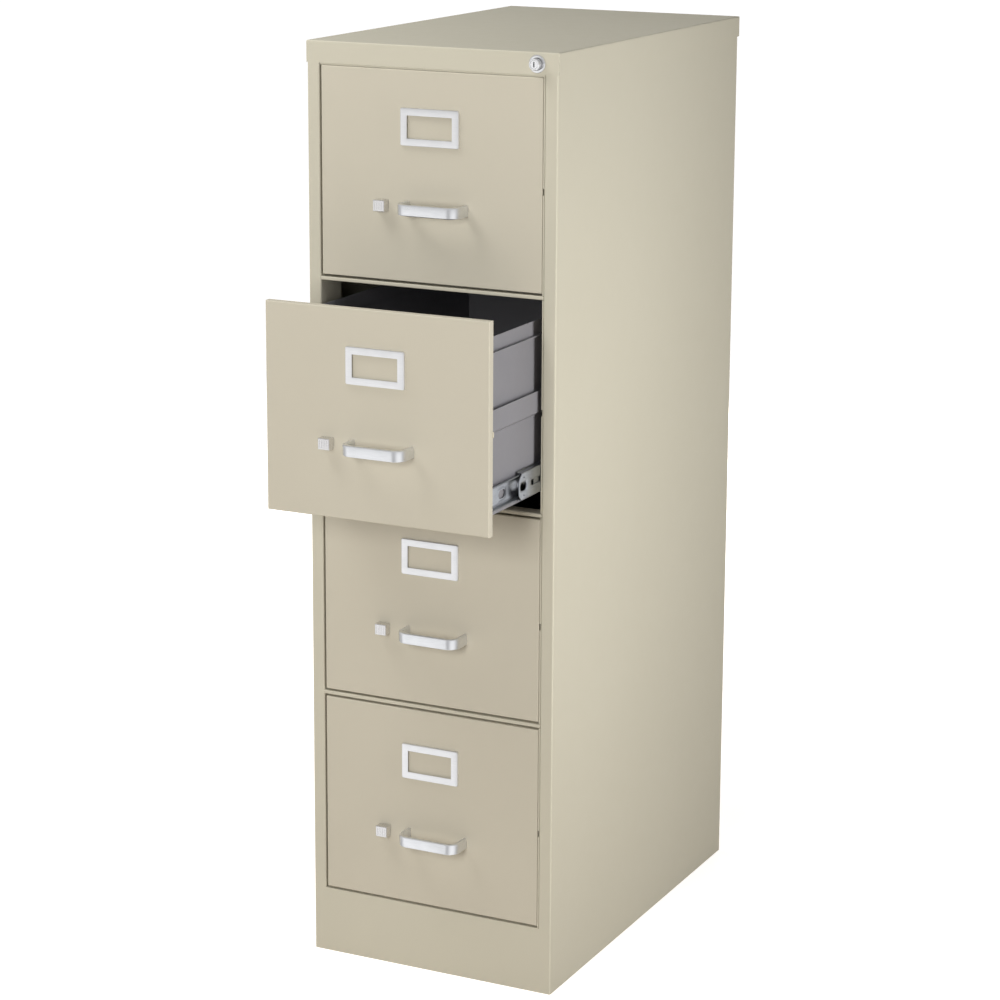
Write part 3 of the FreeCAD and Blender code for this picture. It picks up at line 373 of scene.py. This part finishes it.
def make_enamel_group():
    """Sprayed and baked paint: broad mottling, fine flecks in the colour, and orange peel in the height."""
    group, inputs, outputs = new_group(
        "sprayed_enamel",
        [("Colour", "NodeSocketColor", (0.6, 0.55, 0.45, 1)),
         ("Shade", "NodeSocketColor", (0.5, 0.45, 0.36, 1)),
         ("Mottling", "NodeSocketFloat", 0.2),
         ("Gloss", "NodeSocketFloat", 0.4)],
        [("Colour", "NodeSocketColor"), ("Roughness", "NodeSocketFloat"), ("Height", "NodeSocketFloat")],
    )
    place = group.nodes.new("ShaderNodeTexCoord").outputs["Object"]
    broad = noise(group, place, 3.5, 3.0)
    fleck = noise(group, place, 900.0, 2.0)
    peel = noise(group, place, 420.0, 1.5, 0.4)
    amount = calculate(group, "MULTIPLY", between(group, broad, 0.0, 1.0), inputs.outputs["Mottling"])
    flecks = calculate(group, "MULTIPLY", between(group, fleck, 0.0, 0.5), inputs.outputs["Mottling"])
    amount = calculate(group, "ADD", amount, flecks)
    colour = mix_colours(group, amount, inputs.outputs["Colour"], inputs.outputs["Shade"])
    uneven = between(group, noise(group, place, 60.0, 3.0), -0.04, 0.04)
    group.links.new(colour, outputs.inputs["Colour"])
    group.links.new(calculate(group, "ADD", uneven, inputs.outputs["Gloss"]), outputs.inputs["Roughness"])
    group.links.new(peel, outputs.inputs["Height"])
    return group


def make_brushing_group():
    """Fine parallel scratches: noise drawn out along the direction in which the metal was brushed."""
    group, inputs, outputs = new_group(
        "brushing",
        [("Direction", "NodeSocketVector", (1, 40, 40)),
         ("Gloss", "NodeSocketFloat", 0.3),
         ("Spread", "NodeSocketFloat", 0.12),
         ("Bright", "NodeSocketColor", (0.8, 0.8, 0.8, 1)),
         ("Dull", "NodeSocketColor", (0.6, 0.6, 0.6, 1))],
        [("Colour", "NodeSocketColor"), ("Roughness", "NodeSocketFloat"), ("Height", "NodeSocketFloat")],
    )
    place = group.nodes.new("ShaderNodeTexCoord").outputs["Object"]
    drawn = group.nodes.new("ShaderNodeVectorMath")
    drawn.operation = "MULTIPLY"
    group.links.new(place, drawn.inputs[0])
    group.links.new(inputs.outputs["Direction"], drawn.inputs[1])
    lines = noise(group, drawn.outputs[0], 60.0, 4.0, 0.65)
    cloud = noise(group, place, 45.0, 2.0)
    marks = between(group, lines, 0.0, 1.0)
    rough = calculate(group, "MULTIPLY", marks, inputs.outputs["Spread"])
    rough = calculate(group, "ADD", rough, inputs.outputs["Gloss"])
    shade = calculate(group, "MULTIPLY", marks, between(group, cloud, 0.4, 1.0))
    colour = mix_colours(group, shade, inputs.outputs["Bright"], inputs.outputs["Dull"])
    group.links.new(colour, outputs.inputs["Colour"])
    group.links.new(rough, outputs.inputs["Roughness"])
    group.links.new(lines, outputs.inputs["Height"])
    return group


enamel_group = make_enamel_group()
brushing_group = make_brushing_group()


def new_material(name):
    material = bpy.data.materials.new(name)
    material.use_nodes = True
    return material, material.node_tree, material.node_tree.nodes["Principled BSDF"]


def use_group(tree, group, **values):
    node = tree.nodes.new("ShaderNodeGroup")
    node.node_tree = group
    for label, value in values.items():
        node.inputs[label].default_value = value
    return node


def finish_surface(tree, shader, group, height_mm, strength):
    """Feeds a group's colour, roughness and height to the shader."""
    bump = tree.nodes.new("ShaderNodeBump")
    bump.inputs["Distance"].default_value = height_mm * MM
    bump.inputs["Strength"].default_value = strength
    tree.links.new(group.outputs["Height"], bump.inputs["Height"])
    tree.links.new(group.outputs["Colour"], shader.inputs["Base Color"])
    tree.links.new(group.outputs["Roughness"], shader.inputs["Roughness"])
    tree.links.new(bump.outputs["Normal"], shader.inputs["Normal"])


PAINT_MOTTLING = 0.25
PAINT_PEEL_MM = 0.03
PAINT_SPECULAR = 0.18
METAL_BUMP = 0.4


def make_paint(name, colour, shade, gloss):
    material, tree, shader = new_material(name)
    group = use_group(tree, enamel_group, Colour=colour, Shade=shade, Mottling=PAINT_MOTTLING, Gloss=gloss)
    finish_surface(tree, shader, group, PAINT_PEEL_MM, 1.0)
    shader.inputs["Specular IOR Level"].default_value = PAINT_SPECULAR
    return material


def make_metal(name, bright, dull, gloss, spread, direction, height_mm):
    material, tree, shader = new_material(name)
    group = use_group(tree, brushing_group, Bright=bright, Dull=dull, Gloss=gloss, Spread=spread,
                      Direction=direction)
    finish_surface(tree, shader, group, height_mm, METAL_BUMP)
    shader.inputs["Metallic"].default_value = 1.0
    return material


# Colour, the colour of its mottling, and roughness.
PAINTS = {
    "case_paint": ((0.60, 0.568, 0.46, 1), (0.56, 0.525, 0.415, 1), 0.58),
    "front_paint": ((0.592, 0.552, 0.45, 1), (0.552, 0.507, 0.405, 1), 0.58),
    "tray_paint": ((0.24, 0.235, 0.25, 1), (0.20, 0.195, 0.21, 1), 0.40),
}

# Colour, the colour of its scratches, roughness and how much the scratches add to it, the noise's scale
# along each axis, which is 1 along the scratches, and the scratches' depth in millimetres.
METALS = {
    "slide_zinc": ((0.46, 0.48, 0.51, 1), (0.24, 0.25, 0.28, 1), 0.26, 0.16, (40, 1, 40), 0.01),
    "handle_aluminium": ((0.86, 0.87, 0.89, 1), (0.70, 0.71, 0.73, 1), 0.26, 0.14, (1, 40, 40), 0.01),
    "label_nickel": ((0.88, 0.88, 0.89, 1), (0.77, 0.77, 0.78, 1), 0.30, 0.12, (1, 40, 40), 0.008),
    "latch_chrome": ((0.80, 0.79, 0.79, 1), (0.63, 0.62, 0.62, 1), 0.22, 0.10, (40, 40, 1), 0.006),
    "lock_chrome": ((0.84, 0.84, 0.85, 1), (0.70, 0.70, 0.71, 1), 0.12, 0.08, (25, 1, 25), 0.003),
}

MATERIALS = {name: make_paint(name, *values) for name, values in PAINTS.items()}
MATERIALS.update({name: make_metal(name, *values) for name, values in METALS.items()})


def dress_nodes():
    """Gives every node of the frame the finish of its slot."""
    for part in frame["record"]["subparts"]:
        node = frame["nodes"][part["node"]]
        for index in range(len(node.material_slots)):
            node.material_slots[index].material = MATERIALS[part["material_slot"]]


dress_nodes()


# Drawer pieces. Sizes are in millimetres, from the middle of a drawer front's lower edge.

SLIDE_MIDDLE = 47.0
SLIDE_LENGTH = 558.8
SLIDE_SHEET = 1.2
SLIDE_BEND = 0.6
HANDLE_MIDDLE = (10.0, 103.5)
LABEL_MIDDLE = 212.0


def to_place(points, place):
    """Millimetres from a place given in metres."""
    return points * MM + np.array(place)


def make_handle(number):
    """A flat bar bent into two posts: a rectangle with rounded corners, carried along a path with arcs."""
    half_thick, half_tall, edge, bend = 3.0, 7.75, 1.5, 14.0
    half, reach = 44.5, 33.0
    outline = rounded_rectangle(half_thick, half_tall, edge, 4)
    path, across = rounded_path([(-half, 0), (-half, -reach), (half, -reach), (half, 0)], [bend, bend], 16)
    path[:, 0] += HANDLE_MIDDLE[0]
    points = swept(path, across, outline)
    points[:, 2] += HANDLE_MIDDLE[1]
    points = to_place(points, drawer_origin(number))
    faces = turned_over(tube_faces(len(path), len(outline)))
    name, body = f"bar_handle_{number}", f"drawer_{number}"
    make_piece(name, points, faces, body, "handle_aluminium", [f"drawer_{number}_handle"])


def make_label_holder(number):
    """A pressed frame that stands off the drawer front, with room behind it for a card. Each ring is a
    rounded rectangle: the outer wall, a rolled edge, the face, the window's edge, and back along the
    underside."""
    half_width, half_height, depth, sheet = 44.25, 25.7, 3.3, 0.8
    border, edge_roll, window_roll = 10.2, 1.2, 0.4
    outer_corner, corner_share = 2.6, 0.2
    roll = np.linspace(0, math.pi / 2, 6)
    back, ahead = 1 - np.cos(roll), 1 - np.sin(roll)
    outer_edge = np.stack([edge_roll * back, depth - edge_roll * ahead], axis=1)
    window_edge = np.stack([border - window_roll * ahead, depth - window_roll * back], axis=1)
    hollow = depth - sheet
    underside = [(border, hollow), (edge_roll, hollow), (sheet, depth - edge_roll), (sheet, 0.0)]
    section = np.concatenate([[(0.0, 0.0)], outer_edge, window_edge, underside])
    rings = []
    for inset, rise in section:
        corner = outer_corner - corner_share * inset
        loop = rounded_rectangle(half_width - inset, half_height - inset, corner, 5)
        rings.append(np.stack([loop[:, 0], np.full(len(loop), -rise), loop[:, 1] + LABEL_MIDDLE], axis=1))
    points = to_place(np.concatenate(rings), drawer_origin(number))
    faces = np.array(grid_faces(len(rings), len(rings[0]), wrap_rows=True))
    faces = facing_out(points, faces).tolist()
    name, body = f"pressed_label_holder_{number}", f"drawer_{number}"
    make_piece(name, points, faces, body, "label_nickel", [f"drawer_{number}_label_holder"], 50)


def place_slides(points, node, number):
    """Moves slide members to their bay, at the front end of the node that they stand for."""
    place = drawer_origin(number)
    place[1] = low(node)[1]
    place[2] += SLIDE_MIDDLE * MM
    return to_place(points, place)


def whole_channel(half):
    """A channel's corners from one lip to the middle of its web, and then back to the other lip."""
    return half + [(x, -z) for x, z in half[::-1]]


def make_drawer_members(number):
    """Channels on the tray's sides, open away from it, with a pressed rim round each screw hole."""
    corners = whole_channel([(164.4, 16.65), (163.2, 15.45), (157.8, 15.45)])
    holes = [dict(y=42.0, z=0.0, length=20.0, height=12.0, margin=12.5, rim=-1.1),
             dict(y=96.0, z=0.0, length=6.0, height=6.0, margin=6.5, rim=-0.5),
             dict(y=250.0, z=0.0, length=16.0, height=7.0, margin=7.5, rim=-0.6),
             dict(y=420.0, z=0.0, length=6.0, height=6.0, margin=6.5, rim=-0.5)]
    points, faces = formed_strip(corners, SLIDE_SHEET, SLIDE_BEND, SLIDE_LENGTH, holes)
    points, faces = with_mirror(points, facing_out(points, faces))
    node = f"drawer_{number}_slide_drawer_members"
    points = place_slides(points, node, number)
    name, body = f"drawer_channels_{number}", f"drawer_{number}"
    make_piece(name, points, faces.tolist(), body, "slide_zinc", [node], 35)


def make_middle_members(number):
    """The channels between the drawer's and the cabinet's, with a rounded nose, an access hole and a long
    slot, and the cages that run inside them."""
    corners = whole_channel([(160.4, -20.35), (161.6, -19.15), (168.0, -19.15)])
    holes = [dict(y=14.5, z=0.0, length=19.0, height=12.0, margin=9.0, rim=-0.7),
             dict(y=14.0, z=12.4, length=2.8, height=2.8, margin=2.6, rim=0.0),
             dict(y=14.0, z=-12.4, length=2.8, height=2.8, margin=2.6, rim=0.0),
             dict(y=128.0, z=0.0, length=180.0, height=8.0, margin=7.0, rim=-0.5),
             dict(y=300.0, z=0.0, length=22.0, height=10.0, margin=9.0, rim=-0.5),
             dict(y=440.0, z=0.0, length=140.0, height=8.0, margin=7.0, rim=-0.5)]
    members = formed_strip(corners, SLIDE_SHEET, SLIDE_BEND, SLIDE_LENGTH, holes, nose=9.0)
    members = (members[0], facing_out(*members))
    cage_corners = whole_channel([(162.3, -17.6), (166.3, -17.6)])
    cage_bend, cage_sheet, cage_ends = 1.0, 0.6, (48.0, 160.0)
    path, across = rounded_path(cage_corners, [cage_bend, cage_bend], 3)
    rings = []
    for depth in (0.0, cage_sheet):
        ring = path - across * depth
        rings += [np.stack([ring[:, 0], np.full(len(ring), end), ring[:, 1]], axis=1) for end in cage_ends]
    cage_points = np.concatenate(rings)
    cage_faces = shell_faces(np.ones((1, len(path) - 1), bool))
    cage = (cage_points, facing_out(cage_points, cage_faces))
    points, faces = with_mirror(*joined([members, cage]))
    node = f"drawer_{number}_slide_middle_members"
    points = place_slides(points, node, number)
    name, body = f"middle_channels_{number}", f"slide_middle_{number}"
    make_piece(name, points, faces.tolist(), body, "slide_zinc", [node], 35)


BALL_RADIUS = 1.25
RACE_END = 156.0

# Name, the node that carries the race, distance from the drawer's middle, distance above and below the
# slide's middle, where the row starts, and how many balls a row has.
BALL_ROWS = (
    ("inner_balls", "slide_middle_members", 163.3, 16.7, 52.0, 20),
    ("outer_balls", "slide_cabinet_members", 163.0, 20.4, 4.0, 28),
)


def make_balls(number):
    """Rows of steel balls in the races, above and below, held by the cages."""
    bodies = {"slide_middle_members": f"slide_middle_{number}", "slide_cabinet_members": "case"}
    for name, carrier, across, above, first, count in BALL_ROWS:
        along = np.linspace(first, RACE_END, count)
        rows = [(across * side, above * up) for side in SIDES for up in (1, -1)]
        centres = [np.stack([np.full(count, x), along, np.full(count, z)], axis=1) for x, z in rows]
        points, faces = ball_row(np.concatenate(centres), BALL_RADIUS)
        points = place_slides(points, f"drawer_{number}_{carrier}", number)
        make_piece(f"{name}_{number}", points, faces, bodies[carrier], "slide_zinc", (), 60)


def make_lock_bezel():
    """The lock housing turned about its axis. The rim and the lip of its bezel are quarter circles."""
    steps, stand_out = 72, 3.0
    bore, barrel, depth, bezel = 8.2, 9.5, 16.0, 12.2
    rim_radius, lip_radius = 1.4, 0.6
    roll = np.linspace(0, math.pi / 2, 7)
    back, ahead = 1 - np.cos(roll), 1 - np.sin(roll)
    rim = np.stack([rim_radius * ahead - stand_out, bezel - rim_radius * back], axis=1)
    lip = np.stack([lip_radius * ahead - stand_out, bore + lip_radius * back], axis=1)[::-1]
    profile = np.concatenate([[(depth, bore), (depth, barrel), (0.0, barrel), (0.0, bezel)], rim, lip])
    lowest, highest = low("lock_housing"), high("lock_housing")
    place = ((lowest[0] + highest[0]) / 2, lowest[1] + stand_out * MM, (lowest[2] + highest[2]) / 2)
    points = to_place(turned(profile, steps), place)
    faces = facing_out(points, np.array(grid_faces(len(profile), steps, wrap_rows=True))).tolist()
    make_piece("lock_bezel", points, faces, "case", "lock_chrome", ["lock_housing"])


def make_cap_hem():
    """The cap's front flange is folded up behind itself. The fold hangs just above the top drawer front, so
    that little of the gap there is dark. It is a bar with rounded corners, drawn out along X."""
    half_thick, half_tall, edge = 0.5, 3.3, 0.45
    half_width, clear, set_back = 169.8, 0.35, 1.6
    section = rounded_rectangle(half_thick, half_tall, edge, 4)
    y = section[:, 0] + low("top_cap")[1] / MM + set_back
    z = section[:, 1] + high("drawer_1_front")[2] / MM + clear + half_tall
    rows = [np.stack([np.full(len(section), x), y, z], axis=1) for x in (-half_width, half_width)]
    make_piece("cap_hem", np.concatenate(rows) * MM, tube_faces(2, len(section)), "case", "case_paint")


def make_stile_fold():
    """The right stile's edge is folded back beside each opening, so that little of the gap beside a drawer
    front is dark. The fold is a bar with rounded corners, drawn out along Z, and it is narrow where the
    front's lock ear passes."""
    side_reveal, half_deep, edge, set_back = 2.7, 1.4, 0.3, 0.3
    wide, narrow = 2.1, 0.75
    bottom, ear_foot, ear_top, top = -2.6, 132.4, 141.6, 291.2
    stile = -low("drawer_1_front")[0] / MM + side_reveal
    front = low("side_panel_right")[1] / MM + set_back + half_deep
    spans = ((bottom, ear_foot, wide), (ear_foot, ear_top, narrow), (ear_top, top, wide))
    bars = []
    for number in DRAWERS:
        foot = low(f"drawer_{number}_front")[2] / MM
        for start, end, width in spans:
            section = rounded_rectangle(width / 2, half_deep, edge, 4)
            x, y = section[:, 0] + stile - width / 2, section[:, 1] + front
            bars += [np.stack([x, y, np.full(len(x), foot + height)], axis=1) for height in (start, end)]
    columns = len(bars[0])
    faces = [face for first in range(0, len(bars), 2) for face in tube_faces(2, columns, first * columns)]
    make_piece("stile_fold", np.concatenate(bars) * MM, faces, "case", "case_paint")


def make_weld_spots():
    """Spot welds down both rear flanges. Each is a low turned ring with a dished middle: circles with their
    heights over the flange and their radii, closed by a flat disc at the bottom of the dish."""
    steps, from_side = 12, 9.5
    circles = np.array([(-0.4, 2.9), (0.0, 2.9), (0.14, 2.3), (0.14, 1.9), (-0.02, 1.0)])
    spot = turned(circles, steps)
    heights = np.linspace(60.0, 1240.0, 15)
    flange = high("side_panel_right")
    across, back = flange[0] / MM - from_side, flange[1] / MM
    places = np.array([(side * across, back, height) for side in SIDES for height in heights])
    points = (places[:, None, :] + spot[None, :, :]).reshape(-1, 3) * MM
    firsts = range(0, len(points), len(spot))
    faces = [face for first in firsts for face in tube_faces(len(circles), steps, first)]
    make_piece("weld_spots", points, turned_over(faces), "case", "case_paint", (), 60)


for drawer in DRAWERS:
    make_handle(drawer)
    make_label_holder(drawer)
    make_drawer_members(drawer)
    make_middle_members(drawer)
    make_balls(drawer)
make_lock_bezel()
make_cap_hem()
make_stile_fold()
make_weld_spots()


# Stage.

FLOOR_COLOUR = (0.68, 0.62, 0.56, 1)
FLOOR_REACH = 30.0

# Where the floor's glow starts and ends to rise, in metres from the middle, and its level at both.
GLOW_FROM, GLOW_TO = 0.5, 1.5
GLOW_NEAR, GLOW_FAR = 0.7, 1.02

# The pools that metal shows: how many there are, the angle of the first, the level in their middles, the
# fall of the level between them, and the point from which the angle is measured.
POOLS = 4.0
FIRST_POOL = math.radians(38)
POOL_LEVEL, POOL_FALL = 1.15, 0.7
POOLS_MIDDLE_Y = -0.35

# The world's level as a light, in metal, and for the camera.
WORLD_LIGHT, WORLD_IN_METAL, WORLD_SEEN = 0.06, 0.6, 1.0


def seen_by_mirrors(tree):
    """1 for the rays that metal and glass send out, otherwise 0, and the Light Path node."""
    rays = tree.nodes.new("ShaderNodeLightPath")
    glossy, through = rays.outputs["Is Glossy Ray"], rays.outputs["Is Transmission Ray"]
    return calculate(tree, "MAXIMUM", glossy, through), rays


def emission(tree, strength):
    node = tree.nodes.new("ShaderNodeEmission")
    tree.links.new(strength, node.inputs["Strength"])
    return node.outputs[0]


def glow_level(tree, place, x, y):
    """The floor's glow rises with the distance from the middle, and is none inside the case, where both |x|
    and |y| are smaller than those of the base's corner."""
    distance = tree.nodes.new("ShaderNodeVectorMath")
    distance.operation = "LENGTH"
    tree.links.new(place, distance.inputs[0])
    level = between(tree, distance.outputs["Value"], GLOW_NEAR, GLOW_FAR, GLOW_FROM, GLOW_TO)
    corner = high("base_frame")
    beside = calculate(tree, "DIVIDE", calculate(tree, "ABSOLUTE", x, 0.0), float(corner[0]))
    behind = calculate(tree, "DIVIDE", calculate(tree, "ABSOLUTE", y, 0.0), float(corner[1]))
    outside = calculate(tree, "GREATER_THAN", calculate(tree, "MAXIMUM", beside, behind), 1.0)
    return calculate(tree, "MULTIPLY", outside, level)


def pool_level(tree, x, y):
    """The level in the pools' middles, less the fall times the square of (1 - c) / 2, where c is the cosine
    of the number of pools times the angle from the first one."""
    ahead = calculate(tree, "SUBTRACT", POOLS_MIDDLE_Y, y)
    angle = calculate(tree, "ADD", calculate(tree, "ARCTAN2", x, ahead), FIRST_POOL)
    cosine = calculate(tree, "COSINE", calculate(tree, "MULTIPLY", angle, POOLS), 0.0)
    valley = calculate(tree, "MULTIPLY", calculate(tree, "SUBTRACT", 1.0, cosine), 0.5)
    fall = calculate(tree, "MULTIPLY", calculate(tree, "POWER", valley, 2.0), POOL_FALL)
    return calculate(tree, "SUBTRACT", POOL_LEVEL, fall)


def make_floor():
    """A pale floor that shows white where it is lit and keeps the object's shadow, and is dark inside the
    case. In metal it shows as pale pools of light round the cabinet."""
    material = bpy.data.materials.new("pale_floor")
    material.use_nodes = True
    tree = material.node_tree
    tree.nodes.clear()
    mirrors, rays = seen_by_mirrors(tree)
    place = tree.nodes.new("ShaderNodeTexCoord").outputs["Object"]
    parts = tree.nodes.new("ShaderNodeSeparateXYZ")
    tree.links.new(place, parts.inputs[0])
    x, y = parts.outputs["X"], parts.outputs["Y"]
    diffuse = tree.nodes.new("ShaderNodeBsdfDiffuse")
    diffuse.inputs["Color"].default_value = FLOOR_COLOUR
    glow = calculate(tree, "MULTIPLY", rays.outputs["Is Camera Ray"], glow_level(tree, place, x, y))
    lit = tree.nodes.new("ShaderNodeAddShader")
    tree.links.new(diffuse.outputs[0], lit.inputs[0])
    tree.links.new(emission(tree, glow), lit.inputs[1])
    both = tree.nodes.new("ShaderNodeMixShader")
    tree.links.new(mirrors, both.inputs[0])
    tree.links.new(lit.outputs[0], both.inputs[1])
    tree.links.new(emission(tree, pool_level(tree, x, y)), both.inputs[2])
    output = tree.nodes.new("ShaderNodeOutputMaterial")
    tree.links.new(both.outputs[0], output.inputs["Surface"])
    mesh = bpy.data.meshes.new("floor")
    corners = [(FLOOR_REACH * x, FLOOR_REACH * y, 0) for x, y in ((-1, -1), (1, -1), (1, 1), (-1, 1))]
    mesh.from_pydata(corners, [], [(0, 1, 2, 3)])
    mesh.materials.append(material)
    floor = bpy.data.objects.new("floor", mesh)
    bpy.context.scene.collection.objects.link(floor)


def make_world():
    """A faint even light, which the camera sees as white and metal as a pale grey."""
    world = bpy.data.worlds.new("studio")
    bpy.context.scene.world = world
    world.use_nodes = True
    tree = world.node_tree
    background = tree.nodes["Background"]
    background.inputs["Color"].default_value = (1, 1, 1, 1)
    mirrors, rays = seen_by_mirrors(tree)
    level = between(tree, mirrors, WORLD_LIGHT, WORLD_IN_METAL, 0.0, 1.0)
    level = between(tree, rays.outputs["Is Camera Ray"], level, WORLD_SEEN, 0.0, 1.0)
    tree.links.new(level, background.inputs["Strength"])


def add_lamp(name, place, target, width, height, power):
    """A soft box of the given width and height that points at the target. Metal doesn't show it, but the
    floor and the world, so that no face of it clips to white."""
    lamp = bpy.data.lights.new(name, "AREA")
    lamp.shape = "RECTANGLE"
    lamp.size = width
    lamp.size_y = height
    lamp.energy = power
    light = bpy.data.objects.new(name, lamp)
    bpy.context.scene.collection.objects.link(light)
    direction = Vector(target) - Vector(place)
    light.matrix_world = Matrix.Translation(place) @ direction.to_track_quat("-Z", "Y").to_matrix().to_4x4()
    light.visible_glossy = False


# A broad box before the drawers, a narrow one at the case's right side, and one above, behind and at the
# left: place, the point that it faces, width, height and power in watts.
LAMPS = {
    "front_box": ((0.26, -3.2, 1.45), (0.0, -0.3, 1.0), 0.9, 1.3, 54),
    "side_strip": ((1.4, -0.34, 0.92), (0.19, -0.33, 0.92), 0.35, 1.3, 15.5),
    "top_box": ((-1.1, -0.9, 3.0), (0.0, 0.0, 1.0), 1.2, 1.2, 38),
    "back_box": ((-0.8, 3.5, 0.65), (0.0, 0.3, 0.65), 1.8, 1.1, 60),
    "left_box": ((-2.6, 0.6, 1.0), (-0.19, 0.2, 0.65), 1.2, 1.4, 36),
}

# The camera's place in metres, its angles in radians, its focal length as a share of the picture's width,
# and its shift, all fitted to the edges in the photograph.
EYE = (1.825, -3.812, 1.7035)
TURN = 0.457
TILT = -0.223
ROLL = -0.005
FOCAL_SHARE = 2.943
PICTURE_RISE = -0.08


def make_camera():
    data = bpy.data.cameras.new("camera")
    data.sensor_fit = "HORIZONTAL"
    data.sensor_width = 36.0
    data.lens = FOCAL_SHARE * data.sensor_width
    data.shift_y = PICTURE_RISE
    data.clip_end = 100.0
    camera = bpy.data.objects.new("camera", data)
    bpy.context.scene.collection.objects.link(camera)
    turn = Matrix.Rotation(TURN, 4, "Z")
    tilt = Matrix.Rotation(math.pi / 2 + TILT, 4, "X")
    roll = Matrix.Rotation(-ROLL, 4, "Z")
    camera.matrix_world = Matrix.Translation(EYE) @ turn @ tilt @ roll
    bpy.context.scene.camera = camera


make_floor()
make_world()
for lamp_name, lamp_values in LAMPS.items():
    add_lamp(lamp_name, *lamp_values)
make_camera()
bpy.context.scene.view_settings.view_transform = "Standard"
